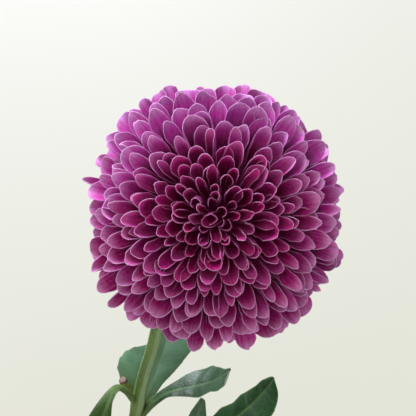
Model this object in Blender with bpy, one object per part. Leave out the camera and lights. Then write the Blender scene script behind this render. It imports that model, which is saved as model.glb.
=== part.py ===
"""Ping pong chrysanthemum in a vase.

One globe-shaped bloom on a cut, leafy stem that leans in the neck of a plain
ceramic bottle vase. Every separate piece of the object is one named object.
Lengths are in millimetres until they are handed to Blender, which gets metres.
Origin: centre of the vase's flat foot. +Z up, the bloom faces -Y.
"""
import math

import bmesh
import bpy
import numpy as np
from mathutils import Vector

MM = 0.001
GAP = 0.3                    # clearance kept between touching pieces

# ---- vase
VASE_HEIGHT = 125.0
VASE_WALL = 3.6
VASE_FLOOR = 6.0             # thickness of the bottom
VASE_FOOT_RADIUS = 25.6      # flat unglazed foot
VASE_SIDES = 32
# outer outline, (radius, height), from the foot to the rim
VASE_OUTLINE = [(27.4, 2.0), (30.0, 6.5), (33.8, 14.0), (38.2, 30.0), (39.0, 43.0), (36.0, 60.0),
                (27.6, 77.0), (18.8, 90.0), (14.8, 100.0), (13.7, 109.0), (14.1, 117.0), (15.4, 123.4)]

# ---- bloom
BALL_RADIUS = 37.5           # centre of the bloom to the floret tips
BALL_CENTRE = (46.8, -30.0, 275.0)
FACE_ELEVATION = 30.0        # the bloom's face looks up by this angle
FACE_TURN = -2.0             # and is turned sideways by this much
RECEPTACLE_RADIUS = 8.5
RECEPTACLE_BACK = 9.0        # receptacle centre behind the ball's centre
PEDUNCLE_LENGTH = 12.0       # tapered end of the receptacle
THETA_MAX = 150.0            # florets cover the ball to this angle from its pole
BASE_SHARE = 0.62            # floret base angle on the receptacle / tip angle
COLLAR_THICKNESS = 1.0
RING_SIZES = [8, 13, 21, 21, 34, 34, 34, 34, 34, 34, 55, 55, 55]
CROWDING = 0.12              # florets stand closer on one side of the bloom by this share
THETA_MIN = 6.2              # no florets nearer to the pole than this
# how far the outer florets reach beside a sphere's radius, by direction in degrees
OUTLINE = [(0, 0.985), (20, 1.0), (45, 1.03), (70, 1.045), (92, 1.015), (120, 1.07), (145, 1.035), (170, 0.965),
           (195, 0.99), (222, 1.06), (243, 1.02), (262, 1.03), (280, 1.005), (300, 1.04), (318, 0.985), (340, 1.015),
           (360, 0.985)]
BRACTS = 13                  # in each whorl

# ---- stem
STEM_RADIUS = 2.3
STEM_SIDES = 10

GOLDEN_ANGLE = math.pi * (3.0 - math.sqrt(5.0))


# ------------------------------------------------------------------ small tools
def unit(v):
    v = np.asarray(v, float)
    return v / np.linalg.norm(v)


def smooth_curve(points, count):
    """Points on a Catmull-Rom curve through the given points, evenly spaced."""
    p = np.asarray(points, float)
    p = np.vstack([2 * p[0] - p[1], p, 2 * p[-1] - p[-2]])
    fine = []
    for i in range(1, len(p) - 2):
        for t in np.linspace(0.0, 1.0, 24, endpoint=False):
            fine.append(0.5 * (2 * p[i] + (p[i + 1] - p[i - 1]) * t
                               + (2 * p[i - 1] - 5 * p[i] + 4 * p[i + 1] - p[i + 2]) * t ** 2
                               + (3 * p[i] - p[i - 1] - 3 * p[i + 1] + p[i + 2]) * t ** 3))
    fine.append(p[-2])
    fine = np.array(fine)
    run = np.concatenate([[0.0], np.cumsum(np.linalg.norm(np.diff(fine, axis=0), axis=1))])
    want = np.linspace(0.0, run[-1], count)
    return np.stack([np.interp(want, run, fine[:, k]) for k in range(fine.shape[1])], axis=1)


def material(name, colour, roughness, metallic=0.0):
    mat = bpy.data.materials.get(name)
    if mat is None:
        mat = bpy.data.materials.new(name)
        mat.use_nodes = True
        shader = mat.node_tree.nodes["Principled BSDF"]
        shader.inputs["Base Color"].default_value = (*colour, 1.0)
        shader.inputs["Roughness"].default_value = roughness
        shader.inputs["Metallic"].default_value = metallic
        mat.diffuse_color = (*colour, 1.0)
    return mat


def make_object(name, verts, faces, mat, sharp_angle=50.0):
    """A closed mesh object from points in millimetres."""
    mesh = bpy.data.meshes.new(name)
    mesh.from_pydata([tuple(float(c) * MM for c in v) for v in verts], [], [tuple(f) for f in faces])
    bm = bmesh.new()
    bm.from_mesh(mesh)
    bmesh.ops.recalc_face_normals(bm, faces=bm.faces)
    bmesh.ops.triangulate(bm, faces=[f for f in bm.faces if len(f.verts) > 3])
    bm.to_mesh(mesh)
    bm.free()
    mesh.shade_smooth()
    mesh.set_sharp_from_angle(angle=math.radians(sharp_angle))
    mesh.materials.append(mat)
    obj = bpy.data.objects.new(name, mesh)
    bpy.context.collection.objects.link(obj)
    return obj


# ------------------------------------------------------------------ turned shapes
def turned(name, profile, sides, mat, place=None, sharp_angle=50.0):
    """Turn a closed outline of (radius, height) about its axis.

    The outline starts and ends on the axis.
    """
    verts, rings = [], []
    for r, z in profile:
        if r < 1e-6:
            rings.append([len(verts)])
            verts.append((0.0, 0.0, z))
        else:
            rings.append(list(range(len(verts), len(verts) + sides)))
            for k in range(sides):
                a = 2 * math.pi * k / sides
                verts.append((r * math.cos(a), r * math.sin(a), z))
    faces = []
    for a, b in zip(rings, rings[1:]):
        for k in range(sides):
            m = (k + 1) % sides
            if len(a) == 1:
                faces.append((a[0], b[k], b[m]))
            elif len(b) == 1:
                faces.append((a[k], b[0], a[m]))
            else:
                faces.append((a[k], b[k], b[m], a[m]))
    if place is not None:
        verts = [place(v) for v in verts]
    return make_object(name, verts, faces, mat, sharp_angle)


def vase_profile():
    """Outer wall up, rolled rim, inner wall down, floor."""
    outer = smooth_curve(VASE_OUTLINE, 13)
    inner_floor_r = 21.0
    inner = []
    for i in range(len(outer) - 1, -1, -1):
        a = outer[max(i - 1, 0)]
        b = outer[min(i + 1, len(outer) - 1)]
        t = unit(b - a)
        p = outer[i] + VASE_WALL * np.array([-t[1], t[0]])
        if p[1] > VASE_FLOOR + 5.0:
            inner.append(p)
    rim_mid = 0.5 * (outer[-1] + inner[0])
    profile = [(0.0, 0.0), (VASE_FOOT_RADIUS, 0.0)] + [tuple(p) for p in outer]
    profile += [(rim_mid[0] + 1.0, VASE_HEIGHT), (rim_mid[0] - 0.8, VASE_HEIGHT - 0.1)]
    profile += [tuple(p) for p in inner]
    profile += [(inner_floor_r + 4.0, VASE_FLOOR + 1.6), (inner_floor_r, VASE_FLOOR), (0.0, VASE_FLOOR)]
    return profile


# ------------------------------------------------------------------ bloom layout
FACE_AXIS = unit([math.sin(math.radians(FACE_TURN)) * math.cos(math.radians(FACE_ELEVATION)),
                  -math.cos(math.radians(FACE_TURN)) * math.cos(math.radians(FACE_ELEVATION)),
                  math.sin(math.radians(FACE_ELEVATION))])
SIDE_AXIS = unit(np.cross([0.0, 0.0, 1.0], FACE_AXIS))
UP_AXIS = np.cross(FACE_AXIS, SIDE_AXIS)
BALL = np.array(BALL_CENTRE)
RECEPTACLE = BALL - RECEPTACLE_BACK * FACE_AXIS


def direction(theta, phi):
    """Unit vector at polar angle theta from the bloom's axis, azimuth phi (radians)."""
    return (math.cos(theta) * FACE_AXIS
            + math.sin(theta) * (math.cos(phi) * SIDE_AXIS + math.sin(phi) * UP_AXIS))


def tip_spacing(theta_deg):
    """Distance between neighbouring floret tips, small at the pole, wide at the back."""
    return np.interp(theta_deg, [0, 15, 30, 45, 60, 75, 90, 120, 150],
                     [4.2, 4.1, 4.6, 5.3, 6.3, 7.2, 7.8, 8.4, 9.0])


def tip_radius(theta_deg):
    """The crown dips a little at its pole, and the back florets are a little shorter."""
    return BALL_RADIUS * np.interp(theta_deg, [0, 8, 20, 40, 110, 135, 150],
                                   [0.87, 0.905, 0.96, 0.99, 1.0, 0.97, 0.93])


def outline_factor(theta_deg, phi):
    """A real bloom is not quite round: its outer florets reach further in some directions."""
    around = np.interp(math.degrees(phi) % 360.0, [q[0] for q in OUTLINE], [q[1] for q in OUTLINE])
    t = min(max((theta_deg - 42.0) / 36.0, 0.0), 1.0)
    return 1.0 + (around - 1.0) * t * t * (3 - 2 * t)


def floret_layout():
    """Tip angles of every floret: a golden-angle spiral from the pole to the back."""
    t = np.linspace(THETA_MIN, THETA_MAX, 3001)
    per_degree = (2 * math.pi * BALL_RADIUS ** 2 * np.sin(np.radians(t))
                  / (0.866 * tip_spacing(t) ** 2)) * np.radians(1.0)
    count = np.concatenate([[0.0], np.cumsum(0.5 * (per_degree[1:] + per_degree[:-1]) * (t[1] - t[0]))])
    n = int(count[-1])
    theta = np.interp(np.arange(n) + 0.5, count, t)
    phi = (np.arange(n) * GOLDEN_ANGLE) % (2 * math.pi)
    phi = (phi - CROWDING * np.cos(phi)) % (2 * math.pi)
    return theta, phi


def floret_path(base, base_dir, tip, s):
    """A floret leaves the receptacle squarely and bends to its tip."""
    mid = base + base_dir * 0.45 * np.linalg.norm(tip - base)
    return (1 - s) ** 2 * base + 2 * s * (1 - s) * mid + s * s * tip


def floret_ring(name, theta, phi, low, high, mat, tips=None, widths=None, keel=0.30):
    """One turn of the spiral: florets joined by the thin collar of their bases.

    theta and phi are the members' tip angles (degrees, radians); low and high
    are the collar's polar limits on the receptacle (degrees).
    """
    order = np.argsort(phi)
    theta, phi = theta[order], phi[order]
    n = len(theta)
    if tips is None:
        tips = [BALL + tip_radius(theta[j]) * outline_factor(theta[j], phi[j]) * direction(math.radians(theta[j]), phi[j])
                for j in range(n)]
        widths = [0.80 * tip_spacing(theta[j]) for j in range(n)]
    else:
        tips = [tips(theta[j], phi[j]) for j in range(n)]
        widths = [widths] * n
    r0 = RECEPTACLE_RADIUS + GAP
    r1 = r0 + COLLAR_THICKNESS
    verts, faces = [], []
    for j in range(n):
        before = phi[j - 1] - (2 * math.pi if j == 0 else 0.0)
        edge = 0.5 * (before + phi[j])
        for r, a in ((r0, low), (r1, low), (r1, high), (r0, high)):
            verts.append(RECEPTACLE + r * direction(math.radians(a), edge))
    for j in range(n):
        a, b = 4 * j, 4 * ((j + 1) % n)
        faces += [(a, a + 1, b + 1, b), (a + 3, b + 3, b + 2, a + 2), (a, b, b + 3, a + 3)]
    middle = math.radians(0.5 * (low + high))
    for j in range(n):
        a, b = 4 * j, 4 * ((j + 1) % n)
        root = [a + 1, b + 1, b + 2, a + 2]
        across = unit(-math.sin(phi[j]) * SIDE_AXIS + math.cos(phi[j]) * UP_AXIS)
        base_dir = direction(middle, phi[j])
        base = RECEPTACLE + r1 * base_dir
        length = np.linalg.norm(tips[j] - base)
        w = widths[j]
        # root section, still inside the collar's band
        r_root = r1 + 0.12 * length
        thick_root = 0.70 * r_root * math.radians(high - low)
        w_root = min(0.55 * w * r_root / BALL_RADIUS * 1.6,
                     0.62 * 2 * math.pi * r_root * math.sin(middle) / n)
        toward_pole = unit(np.cross(across, base_dir))
        if toward_pole @ FACE_AXIS < 0:
            toward_pole = -toward_pole
        c = RECEPTACLE + r_root * base_dir
        sections = [(c, toward_pole, w_root, min(thick_root, 0.5 * w_root + 0.4))]
        # widest section
        s = 0.72
        c = floret_path(base, base_dir, tips[j], s)
        along = unit(floret_path(base, base_dir, tips[j], s + 0.05) - c)
        normal = unit(np.cross(along, across))
        if normal @ toward_pole < 0:
            normal = -normal
        sections.append((c, normal, 0.92 * w, keel * w))
        previous = root
        for c, nrm, width, thick in sections:
            k = len(verts)
            verts.append(c + 0.5 * thick * nrm - 0.5 * width * across)
            verts.append(c + 0.5 * thick * nrm + 0.5 * width * across)
            verts.append(c - 0.5 * thick * nrm + 0.25 * width * across)
            verts.append(c - 0.5 * thick * nrm - 0.25 * width * across)
            now = [k, k + 1, k + 2, k + 3]
            for q in range(4):
                faces.append((previous[q], previous[(q + 1) % 4], now[(q + 1) % 4], now[q]))
            previous = now
        # the tip closes to a short straight edge
        k = len(verts)
        verts.append(tips[j] - 0.26 * w * across)
        verts.append(tips[j] + 0.26 * w * across)
        faces += [(previous[0], previous[1], k + 1, k), (previous[2], previous[3], k, k + 1),
                  (previous[1], previous[2], k + 1), (previous[3], previous[0], k)]
    return make_object(name, verts, faces, mat, 35.0)


# ------------------------------------------------------------------ stem and leaves
def stem_points():
    """Centre line from the cut end on the vase floor to the back of the bloom."""
    c = BALL
    return [(-11.3, 0.0, VASE_FLOOR + 3.0), (-1.3, 0.0, 65.0), (8.6, 0.0, 124.0),
            c + (-28.4, 30.0, -99.6), c + (-25.5, 30.2, -84.7), c + (-21.7, 31.2, -71.2), c + (-18.6, 32.8, -59.0),
            c + (-12.0, 34.6, -43.0), c + (-3.6, 33.2, -27.0), RECEPTACLE - (RECEPTACLE_RADIUS + PEDUNCLE_LENGTH + GAP) * FACE_AXIS]


def tube(name, path, radii, sides, mat, first_normal=None, last_normal=None):
    """A closed tube whose end faces may be cut at an angle."""
    verts, faces = [], []
    n = len(path)
    side = None
    for i in range(n):
        t = unit(path[min(i + 1, n - 1)] - path[max(i - 1, 0)])
        if side is None:
            side = unit(np.cross(t, [0.3, 1.0, 0.1]))
        side = unit(side - t * (side @ t))
        other = np.cross(t, side)
        cut = first_normal if i == 0 else last_normal if i == n - 1 else None
        for k in range(sides):
            a = 2 * math.pi * k / sides
            p = path[i] + radii[i] * (math.cos(a) * side + math.sin(a) * other)
            if cut is not None:
                p = p - t * (((p - path[i]) @ cut) / (t @ cut))
            verts.append(p)
    for i in range(n - 1):
        for k in range(sides):
            m = (k + 1) % sides
            faces.append((i * sides + k, i * sides + m, (i + 1) * sides + m, (i + 1) * sides + k))
    faces.append(tuple(range(sides - 1, -1, -1)))
    faces.append(tuple(range((n - 1) * sides, n * sides)))
    return make_object(name, verts, faces, mat)


def leaf(name, midrib, normals, left, right, mat, slant=0.35, fold=14.0, thickness=0.5, wave=0.6,
         petiole=2.2, rows=11, cols=2):
    """A lobed leaf blade with its petiole as one closed plate.

    midrib: points of the centre line, base to tip. normals: the upper side's
    direction at the base and at the tip. left and right: (place along the
    midrib, half width) of each half's margin, which makes the lobes.
    """
    m = smooth_curve(midrib, 60)
    run = np.concatenate([[0.0], np.cumsum(np.linalg.norm(np.diff(m, axis=0), axis=1))])
    length = run[-1]

    def at(t):
        return np.array([np.interp(t * length, run, m[:, k]) for k in range(3)])

    def frame(t):
        tangent = unit(at(min(t + 0.03, 1.0)) - at(max(t - 0.03, 0.0)))
        up = unit((1 - t) * np.asarray(normals[0], float) + t * np.asarray(normals[1], float))
        side = unit(np.cross(tangent, up))
        return side, np.cross(side, tangent)

    def point(t, v):
        knots = right if v > 0 else left
        half = max(np.interp(t, [k[0] for k in knots], [k[1] for k in knots]), petiole / 2)
        reach = min(t + slant * half / length * abs(v), 1.0)
        side, up = frame(reach)
        lift = math.tan(math.radians(fold)) * abs(v) * half - 0.25 * half * v * v * math.tan(math.radians(fold)) * 2
        ripple = wave * v * v * math.sin(17.0 * t + (1.3 if v > 0 else 0.0)) * min(1.0, half / 8.0)
        return at(reach) + v * half * side + (lift + ripple) * up, up

    verts, top, low = [], [], []
    rows_t = np.linspace(0.0, 1.0, rows)
    for t in rows_t:
        row_top, row_low = [], []
        for v in np.linspace(-1.0, 1.0, 2 * cols + 1):
            p, up = point(t, v)
            row_top.append(len(verts))
            verts.append(p + 0.5 * thickness * up)
            row_low.append(len(verts))
            verts.append(p - 0.5 * thickness * up)
        top.append(row_top)
        low.append(row_low)
    faces = []
    w = 2 * cols
    for i in range(rows - 1):
        for j in range(w):
            faces.append((top[i][j], top[i][j + 1], top[i + 1][j + 1], top[i + 1][j]))
            faces.append((low[i][j], low[i + 1][j], low[i + 1][j + 1], low[i][j + 1]))
        faces.append((top[i][0], top[i + 1][0], low[i + 1][0], low[i][0]))
        faces.append((top[i][w], low[i][w], low[i + 1][w], top[i + 1][w]))
    for j in range(w):
        faces.append((top[0][j], low[0][j], low[0][j + 1], top[0][j + 1]))
        faces.append((top[-1][j], top[-1][j + 1], low[-1][j + 1], low[-1][j]))
    return make_object(name, verts, faces, mat, 60.0)


# ------------------------------------------------------------------ build
def clear_scene():
    for obj in list(bpy.data.objects):
        bpy.data.objects.remove(obj, do_unlink=True)


def build_vase():
    turned("vase", vase_profile(), VASE_SIDES, material("stoneware", (0.78, 0.76, 0.72), 0.35), sharp_angle=32.0)


def build_bloom():
    green = material("stem_green", (0.16, 0.24, 0.07), 0.5)
    bract_green = material("bract_green", (0.12, 0.20, 0.07), 0.55)

    def place(v):
        x, y, z = v
        return RECEPTACLE + x * SIDE_AXIS + y * UP_AXIS + z * FACE_AXIS

    dome = [(0.0, RECEPTACLE_RADIUS)]
    for a in range(18, 126, 18):
        dome.append((RECEPTACLE_RADIUS * math.sin(math.radians(a)), RECEPTACLE_RADIUS * math.cos(math.radians(a))))
    end = RECEPTACLE_RADIUS + PEDUNCLE_LENGTH
    dome += [(5.0, -9.2), (3.4, -12.6), (2.7, -16.5), (2.5, -end), (0.0, -end)]
    turned("receptacle", dome, 20, green, place)

    theta, phi = floret_layout()
    starts = [0]
    for size in RING_SIZES:
        starts.append(min(starts[-1] + size, len(theta)))
    while starts[-1] + 20 < len(theta):
        starts.append(min(starts[-1] + 34, len(theta)))
    if starts[-1] < len(theta):
        starts[-1] = len(theta)
    gap_angle = math.degrees(GAP / (RECEPTACLE_RADIUS + GAP))
    low = 4.0
    for k in range(len(starts) - 1):
        a, b = starts[k], starts[k + 1]
        edge = 0.5 * (theta[b - 1] + theta[b]) if b < len(theta) else theta[-1] + 1.5
        high = BASE_SHARE * edge
        shade = 0.25 + 0.75 * k / (len(starts) - 2)
        mat = material("floret_%02d" % (k + 1), (0.16 + 0.24 * shade, 0.012 + 0.07 * shade, 0.075 + 0.21 * shade), 0.55)
        floret_ring("floret_ring_%02d" % (k + 1), theta[a:b], phi[a:b], low, high, mat)
        low = high + gap_angle
    last = low
    for k, (name, reach, back) in enumerate((("bract_ring_outer", 12.6, 6.5), ("bract_ring_inner", 10.2, 9.5))):
        turn = np.arange(BRACTS) * 2 * math.pi / BRACTS + 0.24 * k + 0.1
        angle = np.full(BRACTS, 120.0)

        def tip(_theta, azimuth, reach=reach, back=back):
            across = math.cos(azimuth) * SIDE_AXIS + math.sin(azimuth) * UP_AXIS
            return RECEPTACLE + reach * across - back * FACE_AXIS

        floret_ring(name, angle, turn, last, last + 9.0, bract_green, tips=tip, widths=3.2 - 0.5 * k, keel=0.22)
        last += 9.0 + gap_angle


def build_stem():
    green = material("stem_green", (0.16, 0.24, 0.07), 0.5)
    path = smooth_curve(stem_points(), 38)
    radii = np.full(len(path), STEM_RADIUS)
    nodes = [BALL + (-28.3, 30.0, -94.0), BALL + (-33.5, 30.0, -119.0), BALL + (-38.0, 30.0, -138.0),
             np.array([3.0, 0.0, 92.0])]
    for i, p in enumerate(path):
        for q in nodes:
            radii[i] += 0.45 * math.exp(-(np.linalg.norm(p - q) / 3.5) ** 2)
    tube("stem", path, radii, STEM_SIDES, green, first_normal=unit([0.55, 0.25, 1.0]), last_normal=FACE_AXIS)
    # the cut side shoot at the upper node, on the left of the stem
    a = BALL + (-30.9, 31.7, -92.9)
    stub = [a, a + (-1.4, 0.7, 2.2), a + (-2.6, 1.2, 4.4), a + (-3.3, 1.6, 6.7)]
    tube("side_shoot_stub", smooth_curve(stub, 7), np.array([0.9, 1.3, 1.6, 1.6, 1.5, 1.45, 1.35]), 8,
         material("shoot_green", (0.22, 0.26, 0.06), 0.5))


def build_leaves():
    upper = material("leaf_green", (0.05, 0.12, 0.05), 0.45)
    c = BALL
    leaf("leaf_back_tall", [c + (-26.6, 33.1, -102.5), c + (-24.7, 34.9, -96.2), c + (-22.8, 38.0, -91.9),
                            c + (-20.3, 43.0, -86.7), c + (-17.4, 49.0, -79.4), c + (-15.0, 56.0, -72.8),
                            c + (-12.6, 65.0, -65.0), c + (-10.5, 73.0, -60.5)],
         [(0.1, -1.0, 0.35), (0.1, -0.8, 0.75)],
         [(0.0, 1.2), (0.04, 4.4), (0.08, 10.9), (0.13, 13.8), (0.18, 14.2), (0.25, 13.0), (0.31, 10.4), (0.37, 6.2),
          (0.42, 3.6), (0.48, 7.5), (0.58, 11.0), (0.66, 9.0), (0.72, 5.5), (0.80, 7.5), (0.90, 4.5), (1.0, 0.8)],
         [(0.0, 1.2), (0.10, 2.2), (0.20, 3.8), (0.30, 7.2), (0.42, 10.2), (0.50, 9.2), (0.62, 11.5), (0.70, 9.5),
          (0.80, 8.0), (0.90, 5.0), (1.0, 0.8)], upper, rows=17)
    leaf("leaf_right_small", [c + (-25.1, 28.3, -101.0), c + (-22.1, 28.6, -94.8), c + (-17.7, 28.5, -89.6),
                              c + (-12.3, 27.5, -86.6), c + (-6.3, 26.0, -83.9), c + (-0.4, 24.0, -79.9),
                              c + (5.2, 22.0, -73.6)],
         [(-0.35, -0.30, 0.90), (-0.05, -0.10, 1.0)],
         [(0.0, 1.4), (0.12, 2.2), (0.34, 2.6), (0.44, 4.2), (0.56, 7.0), (0.68, 7.8), (0.80, 4.9), (0.90, 2.3), (1.0, 0.7)],
         [(0.0, 1.4), (0.12, 1.8), (0.34, 2.2), (0.45, 3.2), (0.56, 4.6), (0.66, 6.2), (0.72, 6.6), (0.77, 5.9),
          (0.85, 8.4), (0.93, 7.2), (1.0, 0.7)], upper, fold=10.0, rows=13)
    leaf("leaf_left_low", [c + (-29.8, 27.0, -92.0), c + (-31.7, 25.9, -86.4), c + (-34.1, 24.0, -83.3),
                           c + (-36.1, 20.6, -83.8), c + (-38.2, 15.6, -87.0), c + (-40.6, 9.0, -93.6),
                           c + (-44.0, 1.0, -105.6), c + (-48.2, -7.0, -120.9), c + (-52.2, -13.5, -134.0)],
         [(0.2, -0.4, 0.9), (-0.80, -0.45, 0.35)],
         [(0.0, 1.1), (0.16, 1.4), (0.22, 1.6), (0.32, 4.0), (0.42, 7.4), (0.55, 10.2), (0.63, 8.4), (0.74, 11.0),
          (0.84, 8.4), (0.93, 5.6), (1.0, 0.8)],
         [(0.0, 1.1), (0.16, 1.4), (0.20, 2.2), (0.30, 4.8), (0.40, 7.0), (0.53, 9.6), (0.61, 8.0), (0.72, 10.4),
          (0.82, 8.0), (0.93, 5.2), (1.0, 0.8)], upper, rows=17)
    leaf("leaf_right_low", [c + (-28.0, 29.3, -113.4), c + (-16.4, 29.2, -114.5), c + (-2.8, 28.0, -108.6),
                            c + (8.2, 26.5, -98.0), c + (15.7, 25.0, -87.6), c + (20.3, 24.0, -78.8)],
         [(-0.6, -0.3, 0.8), (-0.45, -0.45, 0.8)],
         [(0.0, 1.3), (0.14, 1.8), (0.28, 2.6), (0.42, 4.6), (0.54, 6.6), (0.62, 5.6), (0.69, 6.0), (0.78, 4.6),
          (0.84, 3.6), (0.90, 3.4), (1.0, 0.8)],
         [(0.0, 1.3), (0.12, 2.0), (0.28, 8.0), (0.44, 13.0), (0.52, 11.5), (0.68, 13.0), (0.78, 11.5), (0.88, 9.0),
          (0.95, 5.5), (1.0, 0.8)], upper, rows=13)
    leaf("leaf_back_low", [c + (-30.2, 33.6, -120.2), c + (-17.5, 37.0, -123.6), c + (-9.3, 41.0, -118.2),
                           c + (-4.3, 44.0, -104.6)],
         [(-0.2, -0.9, 0.5), (-0.3, -0.6, 0.8)],
         [(0.0, 1.2), (0.15, 1.8), (0.35, 3.2), (0.58, 4.0), (0.80, 2.7), (1.0, 0.8)],
         [(0.0, 1.2), (0.15, 1.8), (0.35, 5.0), (0.58, 6.0), (0.80, 4.2), (1.0, 0.8)], upper)
    leaf("leaf_rim_left", [c + (-40.2, 30.2, -141.0), c + (-52.0, 33.5, -131.0), c + (-66.0, 38.0, -128.5),
                           c + (-80.0, 43.0, -134.0), c + (-91.0, 47.0, -144.0)],
         [(0.4, -0.1, 0.9), (-0.35, 0.1, 0.95)],
         [(0.0, 1.3), (0.12, 2.0), (0.26, 7.0), (0.42, 12.0), (0.50, 9.6), (0.66, 12.6), (0.76, 8.8), (0.88, 7.0), (1.0, 0.8)],
         [(0.0, 1.3), (0.12, 2.0), (0.26, 7.0), (0.42, 12.4), (0.50, 9.8), (0.66, 12.2), (0.76, 8.6), (0.88, 7.0), (1.0, 0.8)], upper)
    leaf("leaf_rim_back", [c + (-36.0, 33.4, -139.6), c + (-33.0, 42.0, -134.5), c + (-29.0, 52.0, -135.5),
                           c + (-25.0, 62.0, -143.5), c + (-22.0, 69.0, -155.0)],
         [(-0.1, -0.5, 0.85), (0.1, 0.65, 0.75)],
         [(0.0, 1.3), (0.12, 2.0), (0.26, 6.5), (0.42, 11.0), (0.50, 9.0), (0.66, 11.6), (0.76, 8.4), (0.88, 6.6), (1.0, 0.8)],
         [(0.0, 1.3), (0.12, 2.0), (0.26, 6.5), (0.42, 11.4), (0.50, 9.2), (0.66, 11.2), (0.76, 8.2), (0.88, 6.6), (1.0, 0.8)], upper)


clear_scene()
build_vase()
build_bloom()
build_stem()
build_leaves()
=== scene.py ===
"""Looks of the ping pong chrysanthemum in its vase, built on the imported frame.

Lengths are worked out in millimetres and handed to Blender in metres.
"""

import math

import bpy
import numpy as np
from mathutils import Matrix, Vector
from mathutils.bvhtree import BVHTree


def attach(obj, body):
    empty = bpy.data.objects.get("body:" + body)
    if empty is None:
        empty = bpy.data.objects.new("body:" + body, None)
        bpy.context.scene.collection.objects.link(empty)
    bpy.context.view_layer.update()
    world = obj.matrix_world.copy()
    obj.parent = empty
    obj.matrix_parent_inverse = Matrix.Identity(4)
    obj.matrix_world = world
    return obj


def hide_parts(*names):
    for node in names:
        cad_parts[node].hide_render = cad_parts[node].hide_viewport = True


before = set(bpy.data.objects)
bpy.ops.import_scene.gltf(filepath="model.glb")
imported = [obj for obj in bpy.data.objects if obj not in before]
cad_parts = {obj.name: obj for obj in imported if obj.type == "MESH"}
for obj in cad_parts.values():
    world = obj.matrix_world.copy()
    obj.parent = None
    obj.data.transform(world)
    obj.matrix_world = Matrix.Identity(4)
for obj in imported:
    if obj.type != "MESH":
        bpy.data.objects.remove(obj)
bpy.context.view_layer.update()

MM = 0.001
BALL_RADIUS = 37.5
BALL = np.array([46.8, -30.0, 275.0])
FACE_ELEVATION = 30.0
FACE_TURN = -2.0
RECEPTACLE_RADIUS = 8.5
RECEPTACLE_BACK = 9.0
PEDUNCLE_LENGTH = 12.0
THETA_MAX = 150.0
BASE_SHARE = 0.62
RING_SIZES = [8, 13, 21, 21, 34, 34, 34, 34, 34, 34, 55, 55, 55]
CROWDING = 0.12
THETA_MIN = 6.2
# the bloom's outline is not quite round: direction in degrees, and how far it reaches
OUTLINE = [(0, 0.985), (20, 1.0), (45, 1.03), (70, 1.045), (92, 1.015), (120, 1.07), (145, 1.035), (170, 0.965),
           (195, 0.99), (222, 1.06), (243, 1.02), (262, 1.03), (280, 1.005), (300, 1.04), (318, 0.985), (340, 1.015),
           (360, 0.985)]
STEM_RADIUS = 2.3
VASE_HEIGHT = 125.0
VASE_WALL = 3.6
VASE_FLOOR = 6.0
GOLDEN_ANGLE = math.pi * (3.0 - math.sqrt(5.0))


# ------------------------------------------------------------------ tools
def unit(v):
    v = np.asarray(v, float)
    return v / np.linalg.norm(v)


def smooth_step(a, b, x):
    t = np.clip((np.asarray(x, float) - a) / (b - a), 0.0, 1.0)
    return t * t * (3 - 2 * t)


def smooth_curve(points, count):
    """Points on a Catmull-Rom curve through the given points, evenly spaced."""
    p = np.asarray(points, float)
    p = np.vstack([2 * p[0] - p[1], p, 2 * p[-1] - p[-2]])
    fine = []
    for i in range(1, len(p) - 2):
        for t in np.linspace(0.0, 1.0, 24, endpoint=False):
            fine.append(0.5 * (2 * p[i] + (p[i + 1] - p[i - 1]) * t
                               + (2 * p[i - 1] - 5 * p[i] + 4 * p[i + 1] - p[i + 2]) * t ** 2
                               + (3 * p[i] - p[i - 1] - 3 * p[i + 1] + p[i + 2]) * t ** 3))
    fine.append(p[-2])
    fine = np.array(fine)
    run = np.concatenate([[0.0], np.cumsum(np.linalg.norm(np.diff(fine, axis=0), axis=1))])
    want = np.linspace(0.0, run[-1], count)
    return np.stack([np.interp(want, run, fine[:, k]) for k in range(fine.shape[1])], axis=1)


FACE_AXIS = unit([math.sin(math.radians(FACE_TURN)) * math.cos(math.radians(FACE_ELEVATION)),
                  -math.cos(math.radians(FACE_TURN)) * math.cos(math.radians(FACE_ELEVATION)),
                  math.sin(math.radians(FACE_ELEVATION))])
SIDE_AXIS = unit(np.cross([0.0, 0.0, 1.0], FACE_AXIS))
UP_AXIS = np.cross(FACE_AXIS, SIDE_AXIS)
HEAD = np.stack([SIDE_AXIS, UP_AXIS, FACE_AXIS])      # rows: head frame axes in the world


class Piece:
    """Collects points, faces, per-point values and per-corner UVs for one object."""

    def __init__(self):
        self.points, self.faces, self.uvs, self.values, self.count = [], [], [], {}, 0

    def add(self, points, faces, face_uvs=None, **values):
        """faces is an (n, 4) array of indices into points; face_uvs is (n, 4, 2)."""
        faces = np.asarray(faces, int)
        self.points.append(np.asarray(points, float))
        self.faces.append(faces + self.count)
        if face_uvs is not None:
            self.uvs.append(np.asarray(face_uvs, float))
        for k, v in values.items():
            self.values.setdefault(k, []).append(np.asarray(v, float))
        self.count += len(points)

    def build(self, name, material, replaced=(), uv=True):
        points = np.concatenate(self.points) * MM
        faces = np.concatenate(self.faces)
        mesh = bpy.data.meshes.new(name)
        mesh.from_pydata(points.tolist(), [], faces.tolist())
        for k, v in self.values.items():
            v = np.concatenate(v)
            if v.ndim == 1:
                mesh.attributes.new(k, "FLOAT", "POINT").data.foreach_set("value", v.astype(np.float32))
            else:
                mesh.attributes.new(k, "FLOAT_VECTOR", "POINT").data.foreach_set("vector", v.astype(np.float32).ravel())
        if uv and self.uvs:
            layer = mesh.uv_layers.new(name="OFBake")
            layer.data.foreach_set("uv", np.concatenate(self.uvs).astype(np.float32).ravel())
        mesh.shade_smooth()
        mesh.update()
        obj = bpy.data.objects.new(name, mesh)
        bpy.context.scene.collection.objects.link(obj)
        mesh.materials.append(material)
        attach(obj, "root")
        if replaced:
            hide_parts(*replaced)
        return obj


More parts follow.
